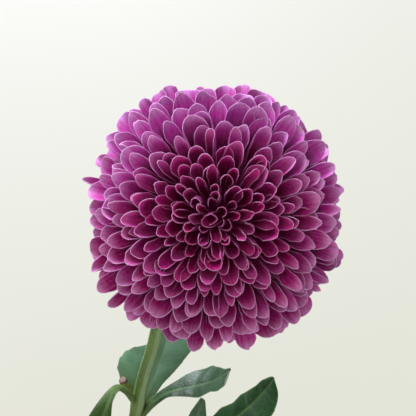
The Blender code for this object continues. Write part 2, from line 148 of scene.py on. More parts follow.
# ------------------------------------------------------------------ node tools
def new_material(name):
    mat = bpy.data.materials.new(name)
    mat.use_nodes = True
    tree = mat.node_tree
    tree.nodes.clear()
    out = tree.nodes.new("ShaderNodeOutputMaterial")
    shader = tree.nodes.new("ShaderNodeBsdfPrincipled")
    tree.links.new(shader.outputs["BSDF"], out.inputs["Surface"])
    return mat, tree, shader


class Net:
    """Short names for the nodes that the materials use."""

    def __init__(self, tree):
        self.t = tree

    def link(self, a, b):
        self.t.links.new(a, b)

    def attr(self, name, vector=False):
        n = self.t.nodes.new("ShaderNodeAttribute")
        n.attribute_name = name
        return n.outputs["Vector" if vector else "Fac"]

    def math(self, op, a, b=None, c=None, clamp=False):
        n = self.t.nodes.new("ShaderNodeMath")
        n.operation = op
        n.use_clamp = clamp
        for i, x in enumerate((a, b, c)):
            if x is None:
                continue
            if isinstance(x, (int, float)):
                n.inputs[i].default_value = x
            else:
                self.link(x, n.inputs[i])
        return n.outputs[0]

    def ramp(self, x, a, b, to_a=0.0, to_b=1.0, smooth=True):
        n = self.t.nodes.new("ShaderNodeMapRange")
        n.interpolation_type = "SMOOTHSTEP" if smooth else "LINEAR"
        n.clamp = True
        self.link(x, n.inputs["Value"])
        for k, v in (("From Min", a), ("From Max", b), ("To Min", to_a), ("To Max", to_b)):
            n.inputs[k].default_value = v
        return n.outputs["Result"]

    def mix(self, f, a, b):
        n = self.t.nodes.new("ShaderNodeMix")
        n.data_type = "RGBA"
        if isinstance(f, (int, float)):
            n.inputs[0].default_value = f
        else:
            self.link(f, n.inputs[0])
        for i, x in ((6, a), (7, b)):
            if isinstance(x, (tuple, list)):
                n.inputs[i].default_value = (*x[:3], 1.0)
            else:
                self.link(x, n.inputs[i])
        return n.outputs[2]

    def noise(self, vec, scale, detail=2.0, rough=0.5, dims="3D"):
        n = self.t.nodes.new("ShaderNodeTexNoise")
        n.noise_dimensions = dims
        n.inputs["Scale"].default_value = scale
        n.inputs["Detail"].default_value = detail
        n.inputs["Roughness"].default_value = rough
        self.link(vec, n.inputs["Vector"])
        return n.outputs["Fac"]

    def scaled(self, vec, sx, sy, sz):
        n = self.t.nodes.new("ShaderNodeVectorMath")
        n.operation = "MULTIPLY"
        self.link(vec, n.inputs[0])
        n.inputs[1].default_value = (sx, sy, sz)
        return n.outputs[0]

    def bump(self, height, strength, distance):
        n = self.t.nodes.new("ShaderNodeBump")
        n.inputs["Strength"].default_value = strength
        n.inputs["Distance"].default_value = distance
        self.link(height, n.inputs["Height"])
        return n.outputs["Normal"]

    def coords(self):
        return self.t.nodes.new("ShaderNodeTexCoord").outputs["Object"]


def srgb(r, g, b):
    def lin(c):
        c = c / 255.0
        return c / 12.92 if c <= 0.04045 else ((c + 0.055) / 1.055) ** 2.4
    return (lin(r), lin(g), lin(b))


# ------------------------------------------------------------------ materials
def floret_material(name, sheen, specular, painted_glow):
    mat, tree, shader = new_material(name)
    n = Net(tree)
    edge, along, zone = n.attr("edge"), n.attr("along"), n.attr("zone")
    tone, inside = n.attr("tone"), n.attr("inside")
    flat = n.attr("flat", vector=True)
    streak = n.noise(n.scaled(flat, 1.0, 0.05, 1.0), 2.6, 3.0, 0.6)
    folds = n.noise(n.scaled(flat, 1.0, 0.035, 1.0), 1.25, 2.0, 0.55)
    mottle = n.noise(flat, 0.9, 3.0, 0.6)
    drift = n.noise(flat, 0.22, 2.0, 0.5)
    grain = n.noise(n.scaled(flat, 1.0, 0.55, 1.0), 1.9, 1.0, 0.5)
    # the inner, pole-facing side: dark wine at the base, partly its own colour and partly painted shade of the hollows
    # between florets, clearer magenta at the tip, paler in the outer rings
    tip_inner = n.mix(n.ramp(zone, 0.08, 0.32), srgb(192, 2, 112), srgb(252, 62, 184))
    tip_inner = n.mix(n.ramp(zone, 0.21, 0.38), tip_inner, srgb(255, 176, 234))
    tip_inner = n.mix(n.ramp(zone, 0.44, 0.60), tip_inner, srgb(232, 158, 212))
    # painted light: florets on the upper side, and less on the right, are painted paler at their tips where the key
    # light falls on them
    painted_lit_tip = n.mix(n.ramp(zone, 0.42, 0.60), srgb(248, 196, 250), srgb(226, 182, 242))
    tip_inner = n.mix(n.math("MULTIPLY", n.attr("faded"), 0.80), tip_inner, painted_lit_tip)
    # partly the blade's own dark wine, partly painted shade for the hollows between florets
    wine_base_and_shade = n.mix(n.ramp(zone, 0.14, 0.50), srgb(148, 0, 68), srgb(104, 0, 54))
    # painted light: the middle of the blade is paler too on the same lit florets
    middle = n.mix(n.math("MULTIPLY", n.attr("faded"), 0.85), srgb(196, 22, 132), srgb(236, 62, 200))
    middle = n.mix(n.ramp(zone, 0.16, 0.30), n.mix(0.5, wine_base_and_shade, tip_inner), middle)
    reach = n.math("SUBTRACT", along, n.ramp(zone, 0.20, 0.36, 0.0, 0.035))
    upper = n.mix(n.ramp(reach, 0.74, 0.87), wine_base_and_shade, middle)
    upper = n.mix(n.ramp(reach, 0.85, 0.98), upper, tip_inner)
    # the outer side is paler and greyer
    under_tip = n.mix(n.ramp(zone, 0.10, 0.62), srgb(170, 74, 136), srgb(206, 118, 188))
    under = n.mix(n.ramp(along, 0.45, 0.95), srgb(172, 92, 138), under_tip)
    colour = n.mix(n.ramp(inside, 0.35, 0.65), under, upper)
    # veins, blotches, painted shade and light along the folds, and the difference from floret to floret
    dark = n.mix(0.42, colour, srgb(96, 4, 66))
    light = n.mix(0.30, colour, srgb(232, 150, 224))
    colour = n.mix(n.math("MULTIPLY", n.ramp(streak, 0.52, 0.70), n.ramp(zone, 0.2, 0.6, 0.45, 0.62)), colour, dark)
    strength = n.ramp(zone, 0.15, 0.50, 0.55, 1.0)
    open_end = n.ramp(along, 0.66, 0.88, 0.10, 1.0)
    colour = n.mix(n.math("MULTIPLY", n.ramp(streak, 0.50, 0.28, 0.0, 0.35), open_end), colour, light)
    # painted shade and light: the blade is darker and paler in lengthwise bands along the folds
    colour = n.mix(n.math("MULTIPLY", n.ramp(folds, 0.50, 0.64, 0.0, 0.72), strength), colour, dark)
    colour = n.mix(n.math("MULTIPLY", n.ramp(folds, 0.48, 0.36, 0.0, 0.70), n.math("MULTIPLY", strength, open_end)), colour, light)
    colour = n.mix(n.math("MULTIPLY", n.ramp(mottle, 0.55, 0.80, 0.0, 0.45), open_end), colour, light)
    colour = n.mix(n.math("MULTIPLY", n.ramp(drift, 0.42, 0.66, 0.0, 0.35), open_end), colour, light)
    colour = n.mix(n.ramp(tone, 0.2, 1.0, 0.0, 0.70), colour, n.mix(0.6, colour, srgb(112, 8, 84)))
    # painted light: the open end of the lit florets is washed towards pale violet
    colour = n.mix(n.math("MULTIPLY", n.math("MULTIPLY", n.attr("faded"), 0.26), open_end), colour, srgb(244, 150, 250))
    # two long dark lines beside the middle: painted shade in the folds there
    beside = n.math("ABSOLUTE", n.math("SUBTRACT", n.attr("fold"), 0.32))
    line = n.math("MULTIPLY", n.ramp(beside, 0.0, 0.16, 1.0, 0.0), n.ramp(along, 0.55, 0.75))
    line = n.math("MULTIPLY", line, n.math("MULTIPLY", n.ramp(along, 0.94, 1.0, 1.0, 0.3), n.ramp(drift, 0.36, 0.56, 0.25, 1.0)))
    colour = n.mix(n.math("MULTIPLY", line, n.ramp(zone, 0.20, 0.50, 0.15, 0.75)), colour, dark)
    # the velvety grain of the skin
    colour = n.mix(n.ramp(grain, 0.52, 0.70, 0.0, 0.38), colour, dark)
    colour = n.mix(n.math("MULTIPLY", n.ramp(grain, 0.47, 0.30, 0.0, 0.40), open_end), colour, light)
    # the pale rim, broken and stronger on the inner, tightly curled florets: a painted highlight where the thin margin
    # catches and passes the light
    wobble = n.math("MULTIPLY", n.math("SUBTRACT", mottle, 0.5), 0.20)
    rim = n.ramp(n.math("ADD", edge, wobble), 0.03, 0.21, 1.0, 0.0)
    rim = n.math("MULTIPLY", rim, n.ramp(along, 0.66, 0.92, 0.25, 1.0))
    rim = n.math("MULTIPLY", rim, n.ramp(drift, 0.34, 0.60, 0.32, 1.0))
    rim = n.math("MULTIPLY", rim, n.ramp(zone, 0.36, 0.66, 1.0, 0.50))
    colour = n.mix(rim, colour, n.mix(n.ramp(zone, 0.05, 0.36), srgb(242, 166, 214), srgb(250, 200, 246)))
    # a few dry, tan spots on the margins
    spot = n.math("MULTIPLY", n.ramp(n.noise(flat, 0.55, 1.0, 0.4), 0.765, 0.795), n.ramp(edge, 0.5, 0.9, 1.0, 0.0))
    colour = n.mix(n.math("MULTIPLY", spot, n.ramp(along, 0.72, 0.85)), colour, srgb(204, 158, 118))
    n.link(colour, shader.inputs["Base Color"])
    n.link(n.ramp(streak, 0.3, 0.7, 0.46, 0.60), shader.inputs["Roughness"])
    shader.inputs["Specular IOR Level"].default_value = specular
    # painted glow: a faint magenta emission stands in for the light that seeps through the thin, wine-coloured blades
    # into the hollows
    shader.inputs["Emission Color"].default_value = (1.0, 0.0, 0.32, 1.0)
    shader.inputs["Emission Strength"].default_value = painted_glow
    shader.inputs["Sheen Weight"].default_value = sheen
    shader.inputs["Sheen Roughness"].default_value = 0.4
    shader.inputs["Sheen Tint"].default_value = (0.84, 0.68, 1.0, 1.0)
    relief = n.math("ADD", n.math("MULTIPLY", streak, 0.35), folds)
    n.link(n.bump(relief, 0.55, 0.00035), shader.inputs["Normal"])
    return mat


def green_material(name, base, pale, dark, scale=1.0, rough=(0.42, 0.6)):
    mat, tree, shader = new_material(name)
    n = Net(tree)
    co = n.coords()
    big = n.noise(co, 60.0 * scale, 3.0, 0.6)
    fine = n.noise(co, 900.0 * scale, 2.0, 0.5)
    colour = n.mix(n.ramp(big, 0.35, 0.65), dark, base)
    colour = n.mix(n.ramp(fine, 0.45, 0.75, 0.0, 0.5), colour, pale)
    n.link(colour, shader.inputs["Base Color"])
    n.link(n.ramp(fine, 0.3, 0.7, rough[0], rough[1]), shader.inputs["Roughness"])
    n.link(n.bump(fine, 0.3, 0.0001), shader.inputs["Normal"])
    shader.inputs["Specular IOR Level"].default_value = 0.4
    return mat


def stem_material():
    mat, tree, shader = new_material("stem_skin")
    n = Net(tree)
    rib, along, around = n.attr("rib"), n.attr("along"), n.attr("flat", vector=True)
    co = n.coords()
    fibre = n.noise(n.scaled(around, 1.0, 0.05, 1.0), 3.0, 3.0, 0.6)
    blotch = n.noise(co, 90.0, 3.0, 0.6)
    base = n.mix(n.ramp(blotch, 0.35, 0.68), srgb(76, 102, 26), srgb(94, 122, 42))
    # painted light: soft pale bands around the stem stand in for its lit sides
    base = n.mix(n.ramp(n.attr("painted_light_band"), 0.42, 0.82, 0.0, 0.9), base, srgb(150, 184, 132))
    ridge = n.mix(n.ramp(rib, 0.35, 1.0, 0.0, 0.30), base, srgb(156, 186, 124))
    colour = n.mix(n.ramp(fibre, 0.50, 0.75, 0.0, 0.5), ridge, srgb(58, 84, 26))
    speck = n.noise(co, 1400.0, 1.0, 0.5)
    colour = n.mix(n.ramp(speck, 0.66, 0.74, 0.0, 0.6), colour, srgb(190, 204, 164))
    colour = n.mix(n.attr("node"), colour, srgb(138, 150, 80))
    n.link(colour, shader.inputs["Base Color"])
    n.link(n.ramp(fibre, 0.3, 0.7, 0.38, 0.55), shader.inputs["Roughness"])
    n.link(n.bump(fibre, 0.4, 0.00015), shader.inputs["Normal"])
    shader.inputs["Specular IOR Level"].default_value = 0.45
    shader.inputs["Subsurface Weight"].default_value = 0.0
    return mat


def leaf_material(name, sheen, specular):
    mat, tree, shader = new_material(name)
    n = Net(tree)
    vein, midrib, edge, top = n.attr("vein"), n.attr("midrib"), n.attr("edge"), n.attr("inside")
    flat = n.attr("flat", vector=True)
    blotch = n.noise(flat, 0.12, 4.0, 0.6)
    fine = n.noise(flat, 1.6, 3.0, 0.6)
    cells = tree.nodes.new("ShaderNodeTexVoronoi")
    cells.feature = "DISTANCE_TO_EDGE"
    cells.inputs["Scale"].default_value = 0.75
    n.link(flat, cells.inputs["Vector"])
    net = n.ramp(cells.outputs["Distance"], 0.0, 0.12, 1.0, 0.0)
    tone = n.attr("tone")
    pale = n.mix(n.ramp(blotch, 0.3, 0.7), srgb(100, 150, 112), srgb(124, 172, 138))
    dark = n.mix(n.ramp(blotch, 0.3, 0.7), srgb(14, 48, 20), srgb(26, 64, 30))
    upper = n.mix(tone, pale, dark)
    lines = n.mix(tone, srgb(140, 178, 134), srgb(84, 120, 68))
    upper = n.mix(n.ramp(fine, 0.4, 0.75, 0.0, 0.25), upper, lines)
    upper = n.mix(n.math("MULTIPLY", net, 0.12), upper, lines)
    upper = n.mix(n.math("MULTIPLY", vein, 0.30), upper, lines)
    upper = n.mix(n.math("MULTIPLY", midrib, 0.75), upper, lines)
    under = n.mix(n.ramp(blotch, 0.3, 0.7), srgb(104, 130, 108), srgb(122, 148, 124))
    under = n.mix(n.ramp(fine, 0.4, 0.75, 0.0, 0.3), under, srgb(150, 170, 148))
    under = n.mix(n.math("MULTIPLY", net, 0.22), under, srgb(140, 164, 134))
    under = n.mix(n.math("MULTIPLY", vein, 0.45), under, srgb(156, 178, 142))
    under = n.mix(n.math("MULTIPLY", midrib, 0.8), under, srgb(168, 190, 148))
    colour = n.mix(n.ramp(top, 0.35, 0.65), under, upper)
    colour = n.mix(n.math("MULTIPLY", n.attr("warm"), 0.7), colour, srgb(54, 80, 8))
    # the stalk is paler and yellower where it leaves the stem
    colour = n.mix(n.attr("stalk"), colour, n.mix(n.ramp(fine, 0.4, 0.75), srgb(116, 146, 84), srgb(140, 168, 108)))
    n.link(n.mix(n.ramp(edge, 0.0, 0.5, 0.35, 0.0), colour, srgb(140, 158, 104)), shader.inputs["Base Color"])
    n.link(n.ramp(fine, 0.3, 0.7, 0.36, 0.50), shader.inputs["Roughness"])
    height = n.math("ADD", n.math("MULTIPLY", net, -0.5), n.math("MULTIPLY", fine, 0.4))
    n.link(n.bump(height, 0.35, 0.00018), shader.inputs["Normal"])
    shader.inputs["Specular IOR Level"].default_value = specular
    shader.inputs["Sheen Weight"].default_value = sheen
    shader.inputs["Sheen Roughness"].default_value = 0.5
    shader.inputs["Sheen Tint"].default_value = (0.82, 0.92, 0.88, 1.0)
    return mat


def glaze_material():
    mat, tree, shader = new_material("satin_glaze")
    n = Net(tree)
    co = n.coords()
    flow = n.noise(n.scaled(co, 1.0, 1.0, 0.45), 38.0, 4.0, 0.6)
    speck = n.noise(co, 900.0, 1.0, 0.4)
    haze = n.noise(co, 240.0, 3.0, 0.6)
    glaze = n.mix(n.ramp(flow, 0.32, 0.70), srgb(188, 183, 171), srgb(204, 199, 188))
    glaze = n.mix(n.ramp(haze, 0.5, 0.8, 0.0, 0.35), glaze, srgb(180, 173, 160))
    glaze = n.mix(n.ramp(speck, 0.70, 0.76, 0.0, 0.7), glaze, srgb(150, 128, 104))
    bare = n.mix(n.ramp(haze, 0.35, 0.7), srgb(178, 152, 124), srgb(196, 172, 144))
    lip = n.attr("lip")
    glaze = n.mix(n.math("MULTIPLY", lip, 0.55), glaze, srgb(176, 150, 122))
    foot = n.attr("foot")
    n.link(n.mix(foot, glaze, bare), shader.inputs["Base Color"])
    n.link(n.math("ADD", n.ramp(haze, 0.3, 0.7, 0.26, 0.36), n.math("MULTIPLY", foot, 0.4)), shader.inputs["Roughness"])
    height = n.math("ADD", n.math("MULTIPLY", flow, 0.5), n.math("MULTIPLY", speck, -0.3))
    n.link(n.bump(height, 0.2, 0.0003), shader.inputs["Normal"])
    shader.inputs["Coat Weight"].default_value = 0.25
    shader.inputs["Coat Roughness"].default_value = 0.18
    return mat


# ------------------------------------------------------------------ bloom layout
def tip_spacing(theta_deg):
    return np.interp(theta_deg, [0, 15, 30, 45, 60, 75, 90, 120, 150],
                     [4.2, 4.1, 4.6, 5.3, 6.3, 7.2, 7.8, 8.4, 9.0])


def tip_radius(theta_deg):
    return BALL_RADIUS * np.interp(theta_deg, [0, 8, 20, 40, 110, 135, 150],
                                   [0.87, 0.905, 0.96, 0.99, 1.0, 0.97, 0.93])


def outline_factor(theta_deg, phi):
    """How much further than a sphere the outer florets reach, by direction."""
    around = np.interp(np.degrees(phi) % 360.0, [q[0] for q in OUTLINE], [q[1] for q in OUTLINE])
    return 1.0 + (around - 1.0) * smooth_step(42.0, 78.0, theta_deg)


def floret_layout():
    t = np.linspace(THETA_MIN, THETA_MAX, 3001)
    per_degree = (2 * math.pi * BALL_RADIUS ** 2 * np.sin(np.radians(t))
                  / (0.866 * tip_spacing(t) ** 2)) * np.radians(1.0)
    count = np.concatenate([[0.0], np.cumsum(0.5 * (per_degree[1:] + per_degree[:-1]) * (t[1] - t[0]))])
    n = int(count[-1])
    theta = np.interp(np.arange(n) + 0.5, count, t)
    phi = (np.arange(n) * GOLDEN_ANGLE) % (2 * math.pi)
    phi = (phi - CROWDING * np.cos(phi)) % (2 * math.pi)
    return theta, phi


def ring_limits(n):
    starts = [0]
    for size in RING_SIZES:
        starts.append(min(starts[-1] + size, n))
    while starts[-1] + 20 < n:
        starts.append(min(starts[-1] + 34, n))
    if starts[-1] < n:
        starts[-1] = n
    return starts


# ------------------------------------------------------------------ florets
ROWS = np.array([0, .22, .42, .56, .66, .74, .80, .85, .89, .925, .953, .975, .991, 1.0])
HALF_COLS = 7
COLS = np.sin(0.5 * math.pi * np.arange(-HALF_COLS, HALF_COLS + 1) / HALF_COLS)


def bezier(p0, p1, p2, p3, s):
    s = np.asarray(s)[:, None]
    return (1 - s) ** 3 * p0 + 3 * s * (1 - s) ** 2 * p1 + 3 * s * s * (1 - s) * p2 + s ** 3 * p3


def distance_to_line(points, line):
    """Shortest distance from each 2-D point to a polyline."""
    a, b = line[:-1], line[1:]
    d = b - a
    t = np.einsum("pik,ik->pi", points[:, None] - a[None], d) / np.maximum(np.einsum("ik,ik->i", d, d), 1e-12)
    q = a[None] + np.clip(t, 0, 1)[..., None] * d[None]
    return np.linalg.norm(points[:, None] - q, axis=2).min(axis=1)


def floret_surface(theta, phi, seed, special=None):
    """The middle surface of one curled ray floret, in the head's own frame."""
    rng = np.random.RandomState(seed)
    sp = dict(special or {})
    loose = float(smooth_step(58.0, 82.0, theta))
    theta_tip = theta + rng.normal(0, 1.5 + 1.7 * loose) + sp.get("theta", 0.0)
    phi_tip = phi + rng.normal(0, 0.034 + 0.008 * loose) / max(math.sin(math.radians(theta)), 0.25)
    reach = tip_radius(theta) * float(outline_factor(theta, phi))
    reach *= (1 + np.clip(rng.normal(0, 0.030), -0.065, 0.050)) * sp.get("reach", 1.0)
    e_r = np.array([math.cos(phi), math.sin(phi), 0.0])
    e_t = np.array([-math.sin(phi), math.cos(phi), 0.0])
    e_z = np.array([0.0, 0.0, 1.0])

    def ray(angle, azimuth=None):
        a = math.radians(angle)
        if azimuth is None:
            return math.sin(a) * e_r + math.cos(a) * e_z
        return math.sin(a) * np.array([math.cos(azimuth), math.sin(azimuth), 0.0]) + math.cos(a) * e_z

    centre = np.array([0.0, 0.0, -RECEPTACLE_BACK])
    base_dir = ray(BASE_SHARE * theta)
    base = centre + (RECEPTACLE_RADIUS - 0.4) * base_dir
    tip = reach * ray(theta_tip, phi_tip)
    span = np.linalg.norm(tip - base)
    bend = np.interp(theta, [0, 8, 20, 35, 50, 65, 90, 120, 150], [27, 23, 17, 14, 15, 18, 19, 15, 13])
    # the upper florets have opened furthest and lie back a little
    bend += 11.0 * float(smooth_step(45.0, 75.0, theta)) * max(0.0, math.cos(phi - 2.0))
    bend += rng.normal(0, 6.0 + 7.0 * loose) + sp.get("bend", 0.0)
    tip_dir = ray(theta_tip + bend, phi_tip)
    fine_s = np.linspace(0, 1, 60)
    curve = bezier(base, base + base_dir * 0.32 * span, tip - tip_dir * 0.36 * span, tip, fine_s)
    run = np.concatenate([[0.0], np.cumsum(np.linalg.norm(np.diff(curve, axis=0), axis=1))])
    length = run[-1]
    even = np.linspace(0, 1, 60)
    curve = np.stack([np.interp(even * length, run, curve[:, k]) for k in range(3)], axis=1)
    tangent = np.gradient(curve, axis=0)
    tangent /= np.linalg.norm(tangent, axis=1)[:, None]
    roll = math.radians(rng.normal(0, 14.0 + 10.0 * loose) + sp.get("roll", 0.0))
    across0 = e_t * math.cos(roll) + np.cross(base_dir, e_t) * math.sin(roll)
    across = across0[None] - tangent * (tangent @ across0)[:, None]
    across /= np.linalg.norm(across, axis=1)[:, None]
    normal = np.cross(tangent, across)
    flip = np.sign(np.einsum("ij,ij->i", normal, np.tile(-math.cos(math.radians(theta)) * e_r + math.sin(math.radians(theta)) * e_z, (60, 1))))
    normal *= np.median(flip)

    # how wide and how curled
    folded = rng.rand() < 0.13 + 0.10 * loose
    small = theta < 42.0 and rng.rand() < 0.16
    curl = rng.normal(0, 0.18 + 0.05 * loose) + (0.28 if folded else 0.0)
    alpha_tip = math.radians(np.interp(theta, [0, 12, 22, 35, 50, 70, 90, 120, 150],
                                       [114, 110, 104, 95, 86, 77, 72, 62, 54]) * (1 + curl) + sp.get("curl", 0.0))
    alpha_tip = min(alpha_tip, math.radians(138.0))
    wide = np.interp(theta, [0, 10, 20, 35, 50, 65, 90, 120, 150], [2.3, 3.1, 4.0, 4.9, 5.7, 6.5, 7.5, 8.0, 7.8]) * (1 + 0.10 * math.sin(phi) * smooth_step(20, 60, theta))
    half = 0.5 * wide * (alpha_tip / math.sin(min(alpha_tip, math.pi / 2))) * np.clip(1 + rng.normal(0, 0.17 + 0.04 * loose) - (0.16 if folded else 0.0) - (0.20 if small else 0.0) - 0.05 * loose, 0.5, 1.3) * sp.get("width", 1.0)
    alpha_tube = math.radians(166.0)
    opens = np.interp(theta, [0, 12, 22, 40, 70, 150], [0.80, 0.74, 0.66, 0.57, 0.50, 0.48]) + sp.get("opens", 0.0)

    # outline of the tip: a blunt point
    depth = 0.5 * wide * (np.interp(theta, [0, 14, 24, 42, 80, 120], [0.95, 1.10, 1.30, 1.70, 1.62, 1.45]) + rng.uniform(-0.25, 0.40)) * sp.get("point", 1.0)
    inner = float(smooth_step(46.0, 22.0, theta))
    power = rng.uniform(1.25, 1.80) + inner * rng.uniform(0.0, 0.6)
    v = COLS
    tip_line = 1.0 - (depth / length) * (1.0 - np.maximum(1.0 - np.abs(v) ** power, 0.0) ** 0.5)
    # soft corners, as a ray floret's blunt teeth leave them
    corners = np.interp(v, [-1, -0.72, -0.36, 0.0, 0.36, 0.72, 1], [0, *(rng.uniform(-0.20, 0.28, 5) * (1 + 0.7 * inner)), 0])
    tip_line -= corners / length
    if rng.rand() < 0.30 or "notch" in sp:
        where = rng.uniform(-0.45, 0.45)
        tip_line -= (sp.get("notch", rng.uniform(0.25, 0.7)) / length) * np.exp(-((v - where) / 0.13) ** 2)
    u = ROWS[:, None]
    s = u * tip_line[None, :]

    def at(table, q):
        q = np.clip(q, 0, 1) * (len(table) - 1)
        i = np.minimum(q.astype(int), len(table) - 2)
        f = (q - i)[..., None]
        return table[i] * (1 - f) + table[i + 1] * f

    shape = np.interp(s, [0, 0.2, 0.42, 0.62, 0.78, 0.88, 1.0], [0.34, 0.48, 0.68, 0.90, 1.0, 1.0, 0.94])
    h = half * shape
    open_up = smooth_step(opens, max(0.93, opens + 0.16), s)
    alpha = alpha_tube + (alpha_tip - alpha_tube) * open_up
    rho = h / alpha
    w = v[None, :] * h
    ang = v[None, :] * alpha
    P, B, N = at(curve, s), at(across, s), at(normal, s)
    inward = -np.sin(ang)[..., None] * B + np.cos(ang)[..., None] * N
    # the blade is partly a round gutter and partly a soft V
    vee = np.clip(rng.uniform(-0.15, 0.45) + 0.15 * loose + sp.get("vee", 0.0), 0.0, 0.8) * smooth_step(0.6, 0.85, s)
    half_angle = 0.5 * np.minimum(alpha, math.radians(100.0))
    sideways = (1 - vee) * rho * np.sin(ang) + vee * w * np.cos(half_angle)
    inwards = (1 - vee) * rho * (1 - np.cos(ang)) + vee * (np.sqrt(w * w + 0.04) - 0.2) * np.sin(half_angle)
    X = P + sideways[..., None] * B + inwards[..., None] * N
    # the tip's lip turns a little towards the pole, or away from it
    lip = np.interp(theta, [0, 20, 50, 90, 150], [1.3, 1.5, 1.2, 0.4, 0.3]) * (1 + rng.normal(0, 0.5))
    lift = lip * smooth_step(0.80, 1.0, s) ** 2
    # grooves, middle crease and a slightly uneven margin
    groove = (0.055 + 0.045 * loose) * np.cos(2 * math.pi * w / (0.36 * half)) * (1 - np.abs(v[None, :]) ** 4) * smooth_step(0.3, 0.6, s)
    crease = -(rng.uniform(-0.05, 0.22) + 0.45 * loose * max(rng.normal(0, 0.7), 0) + sp.get("crease", 0.0)) * np.exp(-(w / (0.16 * half)) ** 2) * smooth_step(0.45, 0.75, s)
    ruffle = rng.uniform(0.02, 0.22) * (1 + 0.9 * loose + sp.get("ruffle", 0.0)) * np.abs(v[None, :]) ** 5 * np.sin(2 * math.pi * (s * length) / rng.uniform(3.5, 6.5) + rng.uniform(0, 6.28) + 1.6 * np.sign(v)[None, :]) * smooth_step(0.55, 0.8, s)
    X = X + lift[..., None] * N + (groove + crease + ruffle)[..., None] * inward
    return dict(X=X, inward=inward, s=s, w=w, v=v, half=half, length=length, tip_line=tip_line,
                tone=float(np.clip(rng.normal(0.5, 0.25), 0, 1)), theta=theta, seed=seed,
                # painted light: how much each floret is painted paler, highest on the upper side and on the right
                faded=float(np.clip(smooth_step(33.0, 54.0, theta) * (1 - 0.4 * smooth_step(72.0, 95.0, theta))
                                    * max(0.0, math.cos(phi - 1.85)) ** 0.7
                                    + 0.5 * smooth_step(48.0, 62.0, theta) * max(0.0, math.cos(phi - 0.05)) ** 2
                                    + rng.normal(0.02, 0.10), 0, 1)))


TIP_ROWS = 4
TIP_POLYS = [(a * len(COLS) + b, a * len(COLS) + b + 1, (a + 1) * len(COLS) + b + 1, (a + 1) * len(COLS) + b)
             for a in range(len(ROWS) - TIP_ROWS - 1) for b in range(len(COLS) - 1)]


def tip_tree(surface):
    return BVHTree.FromPolygons(surface["X"][TIP_ROWS:].reshape(-1, 3).tolist(), TIP_POLYS)


def add_floret(piece, surface, cell, cells):
    """Thickens a floret's middle surface into a thin closed shell and adds it to piece."""
    X, inward, s, w, v = (surface[k] for k in ("X", "inward", "s", "w", "v"))
    half, length, tip_line, theta, seed = (surface[k] for k in ("half", "length", "tip_line", "theta", "seed"))
    # distance to the floret's own margin, measured on the flattened floret
    side_s = np.linspace(0, 1, 14)
    def edge_of(sign, col):
        q = side_s * tip_line[col]
        return np.stack([sign * half * np.interp(q, [0, 0.2, 0.42, 0.62, 0.78, 0.88, 1.0], [0.34, 0.48, 0.68, 0.90, 1.0, 1.0, 0.94]), q * length], axis=1)
    outline = np.concatenate([edge_of(-1, 0), np.stack([w[-1], s[-1] * length], axis=1), edge_of(1, -1)[::-1]])
    flat2 = np.stack([w, s * length], axis=2)
    d = distance_to_line(flat2.reshape(-1, 2), outline).reshape(s.shape)
    thick = 0.34 * (0.45 + 0.55 * smooth_step(0.0, 0.9, d)) * (0.8 + 0.2 * smooth_step(0, 0.5, s))
    upper = X + 0.5 * thick[..., None] * inward
    lower = X - 0.5 * thick[..., None] * inward

    nu, nv = s.shape
    pts = np.concatenate([upper.reshape(-1, 3), lower.reshape(-1, 3)]) @ HEAD + BALL
    k = np.arange(nu * nv).reshape(nu, nv)
    off = nu * nv
    a, b, c, e = k[:-1, :-1], k[:-1, 1:], k[1:, 1:], k[1:, :-1]
    top = np.stack([a, b, c, e], axis=-1).reshape(-1, 4)
    low = np.stack([a, e, c, b], axis=-1).reshape(-1, 4) + off
    left = np.stack([k[:-1, 0], k[1:, 0], k[1:, 0] + off, k[:-1, 0] + off], axis=-1)
    right = np.stack([k[1:, -1], k[:-1, -1], k[:-1, -1] + off, k[1:, -1] + off], axis=-1)
    end = np.stack([k[-1, :-1], k[-1, 1:], k[-1, 1:] + off, k[-1, :-1] + off], axis=-1)
    root = np.stack([k[0, 1:], k[0, :-1], k[0, :-1] + off, k[0, 1:] + off], axis=-1)
    # is the top grid wound outward?
    sample = np.cross(upper[-3, HALF_COLS + 1] - upper[-3, HALF_COLS], upper[-2, HALF_COLS] - upper[-3, HALF_COLS])
    quads = [top, low, left, right, end, root]
    outward = sample @ inward[-3, HALF_COLS] > 0
    # bake layout: each floret has its own cell, split between its two sides
    cx, cy = cell
    gx, gy = cells
    uu = np.linspace(0.05, 0.95, nu)[:, None] + np.zeros((1, nv))
    vv = np.zeros((nu, 1)) + np.interp(v, [-1, 1], [0.0, 1.0])[None, :]
    uv_top = np.stack([(cx + 0.04 + 0.42 * vv) / gx, (cy + uu) / gy], axis=-1).reshape(-1, 2)
    uv_low = np.stack([(cx + 0.54 + 0.42 * vv) / gx, (cy + uu) / gy], axis=-1).reshape(-1, 2)
    uv_all = np.concatenate([uv_top, uv_low])
    uvs = [uv_all[top], uv_all[low]]
    for strip, shift in ((left, (-0.02, 0)), (right, (0.02, 0)), (end, (0, 0.02)), (root, (0, -0.02))):
        base_uv = uv_top[strip % off]
        out_uv = base_uv.copy()
        out_uv[:, 2:] += np.array([shift[0] / gx, shift[1] / gy])
        uvs.append(out_uv)
    if not outward:
        quads = [q[:, ::-1] for q in quads]
        uvs = [q[:, ::-1] for q in uvs]
    count = 2 * off
    both = lambda x: np.concatenate([x.ravel(), x.ravel()])
    flat3 = np.concatenate([np.stack([w, s * length, np.full_like(w, (seed % 1000) * 3.7)], axis=2).reshape(-1, 3),
                            np.stack([w, s * length, np.full_like(w, (seed % 1000) * 3.7 + 1.9)], axis=2).reshape(-1, 3)])
    piece.add(pts, np.concatenate(quads), np.concatenate(uvs),
              edge=both(d), fold=both(np.abs(v)[None, :] + np.zeros_like(w)), along=both(s + np.zeros_like(w)), zone=np.full(count, theta / THETA_MAX),
              tone=np.full(count, surface["tone"]), faded=np.full(count, surface["faded"]),
              inside=np.concatenate([np.ones(off), np.zeros(off)]), flat=flat3)


